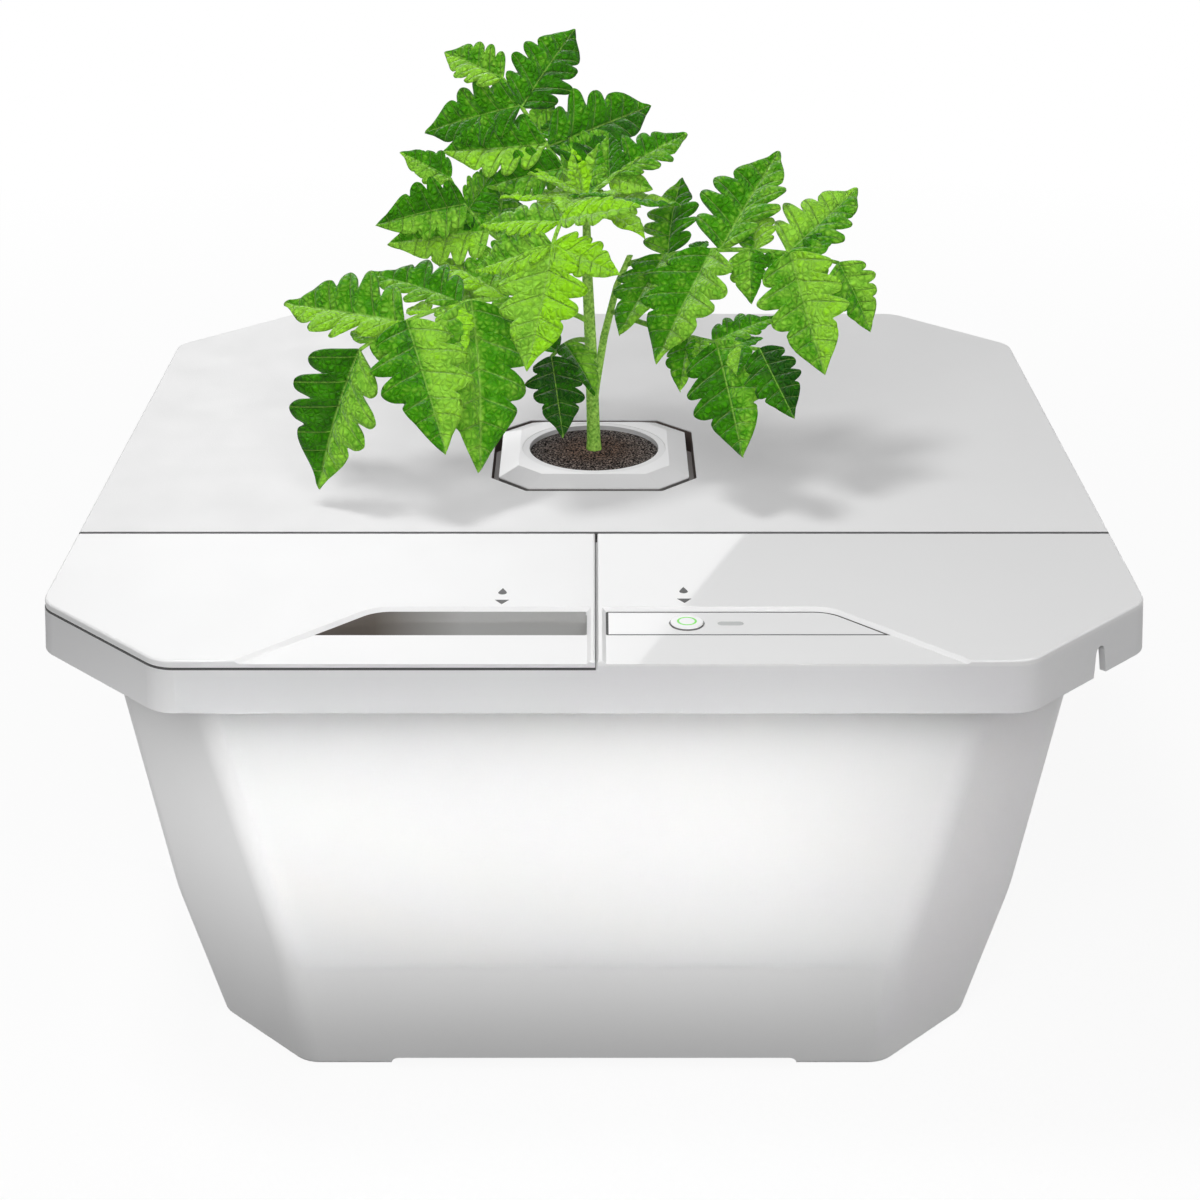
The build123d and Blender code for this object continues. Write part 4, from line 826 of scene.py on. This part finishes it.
def rachis_place(start, heading, rise, fall, roll, length, share):
    """Matrix on an arched rachis: X along it, Z out of the leaf's upper side."""
    turn = radians(rise - fall)
    bend_r = length / turn
    slope = radians(rise) - turn * share
    flat = Vector((cos(radians(heading)), sin(radians(heading)), 0))
    upright = Vector((0, 0, 1))
    place = start + flat * bend_r * (sin(radians(rise)) - sin(slope))
    place += upright * bend_r * (cos(slope) - cos(radians(rise)))
    along = flat * cos(slope) + upright * sin(slope)
    normal = upright * cos(slope) - flat * sin(slope)
    side = normal.cross(along)
    normal = normal * cos(radians(roll)) - side * sin(radians(roll))
    side = normal.cross(along)
    axes = Matrix((along, side, normal)).transposed().to_4x4()
    return Matrix.Translation(place) @ axes


def turned(axis, degrees):
    """Turn about X, Y or Z."""
    return Matrix.Rotation(radians(degrees), 4, axis)


print("top of the stem at", tuple(round(x, 4) for x in stem_point("main", 1)))

# %% [markdown]
# Stems and rachises are tubes. Each is drawn from one ring: the ring is extruded from station to station,
# and moved, turned and narrowed on the way. A small bud closes the top, where the youngest leaves start.
# A curve with a bevel would do as well, but a ring keeps the tube in the same mesh as the leaflets. In
# the photograph the plant neither shows in the polished deck nor tints the white lid, so its pieces are
# kept out of mirrored and bounced light. They still cast shadows.

# %% Tubes
TUBE_SIDES = 14


def draw_tube(form, stations):
    """Extrude a ring through stations: matrices whose X runs along the tube, each with a radius."""
    facing_x = turned("Y", 90)
    ring = bmesh.ops.create_circle(form, segments=TUBE_SIDES, radius=1, matrix=facing_x)["verts"]
    edges = list({e for v in ring for e in v.link_edges})
    drawn = list(ring)
    last = Matrix.Identity(4)
    for count, (place, radius) in enumerate(stations):
        if count:
            grown = bmesh.ops.extrude_edge_only(form, edges=edges)["geom"]
            ring = [g for g in grown if isinstance(g, bmesh.types.BMVert)]
            edges = [g for g in grown if isinstance(g, bmesh.types.BMEdge)]
            edges = [e for e in edges if all(v in ring for v in e.verts)]
            drawn += ring
        goal = place @ Matrix.Scale(radius, 4)
        change = goal @ last.inverted()
        for v in ring:
            v.co = change @ v.co
        last = goal
    bmesh.ops.contextual_create(form, geom=edges)
    return drawn


print("tubes with", TUBE_SIDES, "sides")

# %% Stem, side shoot and bud
STEM_R = 2.7 * MM
STEM_WIDTHS = {"main": (1.0, 0.92, 0.78, 0.5), "side": (0.62, 0.58, 0.52, 0.45)}
STEM_STEPS = 30
STEM_FLARE = 0.16
FLARE_FALL = 30
BUD_R = 3.0 * MM
STEM_TONES = ((0.1, 0.38, 0.02), (0.55, 0.94, 0.15))
BLOTCH_SCALE = 900.0
DOWN_SCALE = 2600.0
DOWN_RELIEF = 0.15 * MM


def keep_to_itself(piece):
    """Take a piece of the plant out of mirrored and bounced light."""
    piece.visible_glossy = False
    piece.visible_diffuse = False


def stem_stations(stem):
    """Places and radii along a stem, which flares at its foot."""
    widths = STEM_WIDTHS[stem]
    spans = len(widths) - 1
    for step in range(STEM_STEPS + 1):
        share = step / STEM_STEPS
        first = min(int(share * spans), spans - 1)
        part = share * spans - first
        width = widths[first] * (1 - part) + widths[first + 1] * part
        width *= STEM_R * (1 + STEM_FLARE * exp(-share * FLARE_FALL))
        yield Matrix.Translation(stem_point(stem, share)) @ turned("Y", -90), width


def stem_finish():
    """Pale green stem with faint blotches and a fine downy grain."""
    made = new_finish("pale_stem", (0.3, 0.52, 0.12), 0.55, Specular_IOR_Level=0.3)
    tree = made.node_tree
    shader = tree.nodes["Principled BSDF"]
    tone = ramp(tree, noise_of(tree, BLOTCH_SCALE, 5.0), *STEM_TONES)
    tree.links.new(tone, shader.inputs["Base Color"])
    bump(tree, noise_of(tree, DOWN_SCALE, 2.0), DOWN_RELIEF)
    return made


form = bmesh.new()
for stem in STEM_PLACES:
    draw_tube(form, stem_stations(stem))
top = Matrix.Translation(stem_point("main", 1))
bmesh.ops.create_icosphere(form, subdivisions=3, radius=BUD_R, matrix=top)
bmesh.ops.recalc_face_normals(form, faces=form.faces)
stem_piece = new_piece("tomato_stem", form, "pot", stem_finish(), smooth=True)
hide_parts("plant_stem")
keep_to_itself(stem_piece)
print("stem:", len(stem_piece.data.polygons), "faces")

# %% [markdown]
# One leaflet is a fine grid. Its rows start on the midrib and run forward to the edge like the side veins
# do, so a row ends in each lobe and each notch of the drawn outline. Height comes from four things: the
# blade folds along its midrib, its tip bends down, it puckers up between the veins, and its edge waves. A
# sculpted leaflet could be copied instead, but then all of them would be alike.

# %% Outline and veins of a leaflet
OUTLINE = (
    (0.0, 0.012), (0.04, 0.08), (0.09, 0.165), (0.14, 0.22), (0.185, 0.24), (0.22, 0.23), (0.24, 0.20),
    (0.25, 0.15), (0.29, 0.212), (0.32, 0.258), (0.36, 0.288), (0.398, 0.283), (0.424, 0.25),
    (0.435, 0.165), (0.475, 0.222), (0.513, 0.252), (0.552, 0.262), (0.585, 0.245), (0.608, 0.21),
    (0.618, 0.158), (0.662, 0.182), (0.72, 0.17), (0.79, 0.132), (0.86, 0.088), (0.93, 0.044),
    (0.97, 0.019), (1.0, 0.0),
)
VEIN_ROWS = (0, 4, 10.5, 16, 20.5, 22, 23.5, 26)


def outline_at(row):
    """Point on the leaflet's outline at a row, on a smooth curve through the drawn points."""
    first = min(int(row), len(OUTLINE) - 2)
    part = row - first
    picked = [Vector(OUTLINE[min(max(first + k, 0), len(OUTLINE) - 1)]) for k in (-1, 0, 1, 2)]
    a, b, c, d = picked
    bow = (2 * a - 5 * b + 4 * c - d) * part ** 2 + (3 * b - a - 3 * c + d) * part ** 3
    point = b + ((c - a) * part + bow) / 2
    return point.x, max(point.y, 0)


def vein_number(row):
    """Whole on a side vein and broken between two of them."""
    for count, (low, high) in enumerate(zip(VEIN_ROWS, VEIN_ROWS[1:])):
        if row <= high:
            return count + (row - low) / (high - low)
    return len(VEIN_ROWS) - 1


print("outline points:", len(OUTLINE), "and veins:", len(VEIN_ROWS))

# %% Leaflet
ROWS = 104
ACROSS = 14
ROW_LEAN = 0.5
ROW_CURVE = 0.85
FOLD = (0.28, 0.6)
BEND = (0.04, 0.20)
SWAY = 0.06
WAVE = (0.008, 0.022)
WAVE_TURNS = 6 * pi
WAVE_LAG = 2
LOBE_GAIN = 0.26
LEAFLET_TONE = 0.26
# Painted light: one half of each leaflet is paler than the other.
PAINTED_HALF_LIGHT = (0.06, 0.2)
OVAL_HALF = 0.34
OVAL_SKEW = 0.62
OVAL_FULL = 0.9
PUCKER = 0.032
PUCKER_ALONG = 0.7
PUCKER_ACROSS = 0.6
PUCKER_REACH = 1.05
EDGE_DROP = 0.22


def add_leaflet(form, layers, place, length, tone, draw, lobed=1.0):
    """Grow one leaflet along +X of its place."""
    blade, tint = layers
    fold, bend = draw.uniform(*FOLD), draw.uniform(*BEND)
    wave, phase = draw.uniform(*WAVE), draw.uniform(0, 2 * pi)
    sway = draw.uniform(-SWAY, SWAY)
    gains = [[draw.uniform(0.0, LOBE_GAIN) for _ in VEIN_ROWS] for _ in range(2)]
    shade = tone + draw.uniform(-LEAFLET_TONE, LEAFLET_TONE)
    # Painted light on one half of the leaflet, shade on the other.
    painted_half_light = draw.choice((-1, 1, 1)) * draw.uniform(*PAINTED_HALF_LIGHT)
    for v in bmesh.ops.create_grid(form, x_segments=ROWS, y_segments=ACROSS, size=1)["verts"]:
        row, across = (v.co.x + 1) / 2 * (len(OUTLINE) - 1), v.co.y
        edge = abs(across)
        vein = vein_number(row)
        low = min(int(vein), len(VEIN_ROWS) - 2)
        gain = gains[across > 0][low] * (1 - vein + low) + gains[across > 0][low + 1] * (vein - low)
        x_edge, half = outline_at(row)
        oval = OVAL_HALF * sin(pi * min(max(x_edge, 0), 1) ** OVAL_SKEW) ** OVAL_FULL
        half = (oval + (half - oval) * lobed) * (1 + gain)
        start = max(x_edge - ROW_LEAN * half, 0) if row else 0
        along = start + (x_edge - start) * edge ** ROW_CURVE
        pucker = 0
        if edge:
            pucker = abs(sin(pi * vein)) ** PUCKER_ALONG
            pucker *= sin(pi * min(edge * PUCKER_REACH, 1)) ** PUCKER_ACROSS
        z = fold * half * edge - bend * along ** 2 + PUCKER * pucker
        ripple = wave * sin(WAVE_TURNS * along + phase + WAVE_LAG * (across > 0))
        z += ripple * edge ** 2 - EDGE_DROP * half * edge ** 3
        v[blade] = Vector((half * edge, vein, 0))
        v[tint] = min(max(shade + (painted_half_light if across > 0 else -painted_half_light), 0), 1)
        v.co = place @ (Vector((along, half * across + sway * along ** 2, z)) * length)


print("leaflet grid:", ROWS, "by", ACROSS)

# %% [markdown]
# The leaf's finish draws its veins from the place on the blade that each vertex keeps: pale lines on the
# midrib and on whole vein numbers, and a fine net from cells between them. The tone of the leaf and of each
# leaflet picks the green, from the dark old leaves in the shade to the lime of the young crown, and the
# darker tones are partly painted shade. One half of each leaflet is painted paler, as light on its fold,
# and each cell is painted lighter in its middle and darker at its edge, as light and shade on the puckers.
# Some light goes through the blade. A photograph of a leaf could do this too, but it would repeat.

# %% Greens of a leaf
LEAF_GREENS = (
    (0.0, (0.008, 0.09, 0.001)), (0.36, (0.065, 0.37, 0.001)),
    (0.7, (0.38, 0.82, 0.07)), (1.0, (0.42, 0.97, 0.02)),
)


def near_zero(tree, value, width):
    """1 where a value is 0, down to 0 where it has grown to the width."""
    share = math_node(tree, "DIVIDE", math_node(tree, "ABSOLUTE", value), width)
    clamp = tree.nodes.new("ShaderNodeClamp")
    tree.links.new(math_node(tree, "SUBTRACT", 1.0, share), clamp.inputs["Value"])
    return clamp.outputs[0]


def attribute(tree, name):
    """Node that reads what the mesh keeps under a name."""
    node = tree.nodes.new("ShaderNodeAttribute")
    node.attribute_name = name
    return node


def leaf_color(tree, tone):
    """Green of the blade at a tone."""
    green = tree.nodes.new("ShaderNodeValToRGB")
    stops = green.color_ramp.elements
    while len(stops) < len(LEAF_GREENS):
        stops.new(0.5)
    for stop, (place, color) in zip(stops, LEAF_GREENS):
        stop.position = place
        stop.color = (*color, 1)
    tree.links.new(tone, green.inputs["Fac"])
    return green.outputs["Color"]


print("leaf greens:", len(LEAF_GREENS))

# %% Leaf finish
VEIN_GREEN = (0.42, 0.80, 0.12)
VEIN_COVER = 0.8
RIB_WIDTH = 0.011
SIDE_WIDTH = 0.13
SIDE_COVER = 0.75
NET_SCALE = 420.0
NET_WIDTH = 0.10
NET_COVER = 0.1
CLOUD_SCALE = 180.0
CLOUD_TONE = 0.32
# Painted light and shade: each cell is lighter in its middle and darker at its edge.
PAINTED_PUCKER_LIGHT = (-0.1, 0.42)
QUILT_HIGH = 1.5
SIDE_DEEP = -0.4
LEAF_RELIEF = 1.6 * MM
LIGHT_THROUGH = 0.18


def leaf_finish():
    """Green blade with pale veins, painted light and shade on its puckers, a quilted surface and some light
    through it.
    """
    made = new_finish("fresh_leaf", (0.06, 0.3, 0.01), 0.42, Specular_IOR_Level=0.1)
    tree = made.node_tree
    shader = tree.nodes["Principled BSDF"]
    split = tree.nodes.new("ShaderNodeSeparateXYZ")
    tree.links.new(attribute(tree, "blade").outputs["Vector"], split.inputs[0])
    rib = near_zero(tree, split.outputs["X"], RIB_WIDTH)
    swing = math_node(tree, "SINE", math_node(tree, "MULTIPLY", split.outputs["Y"], pi))
    side = near_zero(tree, swing, SIDE_WIDTH)
    cells = tree.nodes.new("ShaderNodeTexVoronoi")
    cells.feature = "DISTANCE_TO_EDGE"
    cells.inputs["Scale"].default_value = NET_SCALE
    tree.links.new(tree.nodes.new("ShaderNodeTexCoord").outputs["Object"], cells.inputs["Vector"])
    net = near_zero(tree, cells.outputs["Distance"], NET_WIDTH)
    veins = math_node(tree, "MAXIMUM", rib, math_node(tree, "MULTIPLY", side, SIDE_COVER))
    veins = math_node(tree, "MAXIMUM", veins, math_node(tree, "MULTIPLY", net, NET_COVER))
    veins = math_node(tree, "MAXIMUM", veins, split.outputs["Z"])
    clouds = spread(tree, noise_of(tree, CLOUD_SCALE, 4.0), -CLOUD_TONE, CLOUD_TONE)
    # Painted light on the puckers' middles and painted shade at the cells' edges.
    painted_pucker_light = spread(tree, cells.outputs["Distance"], *PAINTED_PUCKER_LIGHT)
    change = math_node(tree, "ADD", clouds, painted_pucker_light)
    tone = math_node(tree, "ADD", attribute(tree, "tint").outputs["Fac"], change)
    mix = tree.nodes.new("ShaderNodeMix")
    mix.data_type = "RGBA"
    tree.links.new(math_node(tree, "MULTIPLY", veins, VEIN_COVER), mix.inputs["Factor"])
    tree.links.new(leaf_color(tree, tone), mix.inputs["A"])
    mix.inputs["B"].default_value = (*VEIN_GREEN, 1)
    tree.links.new(mix.outputs["Result"], shader.inputs["Base Color"])
    quilt = math_node(tree, "MULTIPLY", cells.outputs["Distance"], QUILT_HIGH)
    grooves = math_node(tree, "MULTIPLY", side, SIDE_DEEP)
    bump(tree, math_node(tree, "ADD", quilt, grooves), LEAF_RELIEF)
    through = tree.nodes.new("ShaderNodeBsdfTranslucent")
    tree.links.new(mix.outputs["Result"], through.inputs["Color"])
    both = mix_shaders(tree, LIGHT_THROUGH, shader, through)
    tree.links.new(both.outputs[0], tree.nodes["Material Output"].inputs["Surface"])
    return made


leaf_green = leaf_finish()
print("leaf finish:", leaf_green.name)

# %% [markdown]
# A whole leaf is one mesh: the rachis tube, the leaflets of its table on the rachis, and the tiny round
# ones. A Solidify modifier gives the blades their thickness: one piece for each leaf keeps the list of
# pieces short, and the leaflets can't come loose.

# %% Whole leaves
REACH = 100 * MM
RACHIS_R = 0.95 * MM
LEAF_T = 0.35 * MM
RACHIS_STEPS = 20
RACHIS_TIP = 0.6
SMALL_LEAFLET = 0.12
LOBED_LEAFLET = 0.32
TINY_SHARE = 0.115
TINY_SIZES = (0.8, 1.2)
TINY_SPREAD = (55, 85)
TINY_DROOP = (0, 30)
YOUNG_LOBED = 0.7
YOUNG_DARKER = 0.3
RACHIS_BLADE = (1, 0.5, 0.6)


def make_leaf(name, seed, stem, grows, arch, leaflets, tone, tiny, young=()):
    """Grow one leaf of the table and put it in the place of its measured plates."""
    draw = random.Random(seed)
    *bends, length = arch
    arch = (stem_point(stem, grows), *bends, length * REACH)
    form = bmesh.new()
    layers = form.verts.layers.float_vector.new("blade"), form.verts.layers.float.new("tint")
    end = leaflets[0][0]
    shares = [step / RACHIS_STEPS for step in range(RACHIS_STEPS + 1)]
    stations = [(rachis_place(*arch, end * s), RACHIS_R * (1 - (1 - RACHIS_TIP) * s)) for s in shares]
    for v in draw_tube(form, stations):
        v[layers[0]] = Vector(RACHIS_BLADE)
        v[layers[1]] = tone
    for along, spread_angle, droop, size in leaflets:
        seat = rachis_place(*arch, along) @ turned("Z", spread_angle) @ turned("Y", droop)
        lobed = min(max((size - SMALL_LEAFLET) / (LOBED_LEAFLET - SMALL_LEAFLET), 0), 1)
        add_leaflet(form, layers, seat, size * REACH, tone, draw, lobed)
    for count, along in enumerate(tiny):
        side = 1 if count % 2 else -1
        seat = rachis_place(*arch, along) @ turned("Z", side * draw.uniform(*TINY_SPREAD))
        seat = seat @ turned("Y", draw.uniform(*TINY_DROOP))
        add_leaflet(form, layers, seat, TINY_SHARE * draw.uniform(*TINY_SIZES) * REACH, tone, draw, lobed=0)
    for heading, rise, size in young:
        seat = Matrix.Translation(arch[0]) @ turned("Z", heading) @ turned("Y", -rise)
        duller = tone - draw.uniform(0, YOUNG_DARKER)
        add_leaflet(form, layers, seat, size * REACH, duller, draw, YOUNG_LOBED)
    bmesh.ops.recalc_face_normals(form, faces=form.faces)
    piece = new_piece("tomato_" + name, form, "pot", leaf_green, smooth=True)
    thick = piece.modifiers.new("blade_thickness", "SOLIDIFY")
    thick.thickness = LEAF_T
    thick.offset = 0
    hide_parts(name)
    keep_to_itself(piece)
    return piece


for seed, (name, facts) in enumerate(LEAVES.items()):
    leaf = make_leaf(name, seed, *facts)
    print(leaf.name, len(leaf.data.polygons), "faces")

# %% [markdown]
# The dressed model has to stay the measured size. The box of the bare frame was kept at the start. Here
# it is written beside the box of the dressed model.

# %% Print the two boxes
dressed_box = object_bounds()
boxes = {"cad": [list(corner) for corner in cad_box], "visual": [list(corner) for corner in dressed_box]}
for name, box in boxes.items():
    print(name, [[round(x, 4) for x in corner] for corner in box])
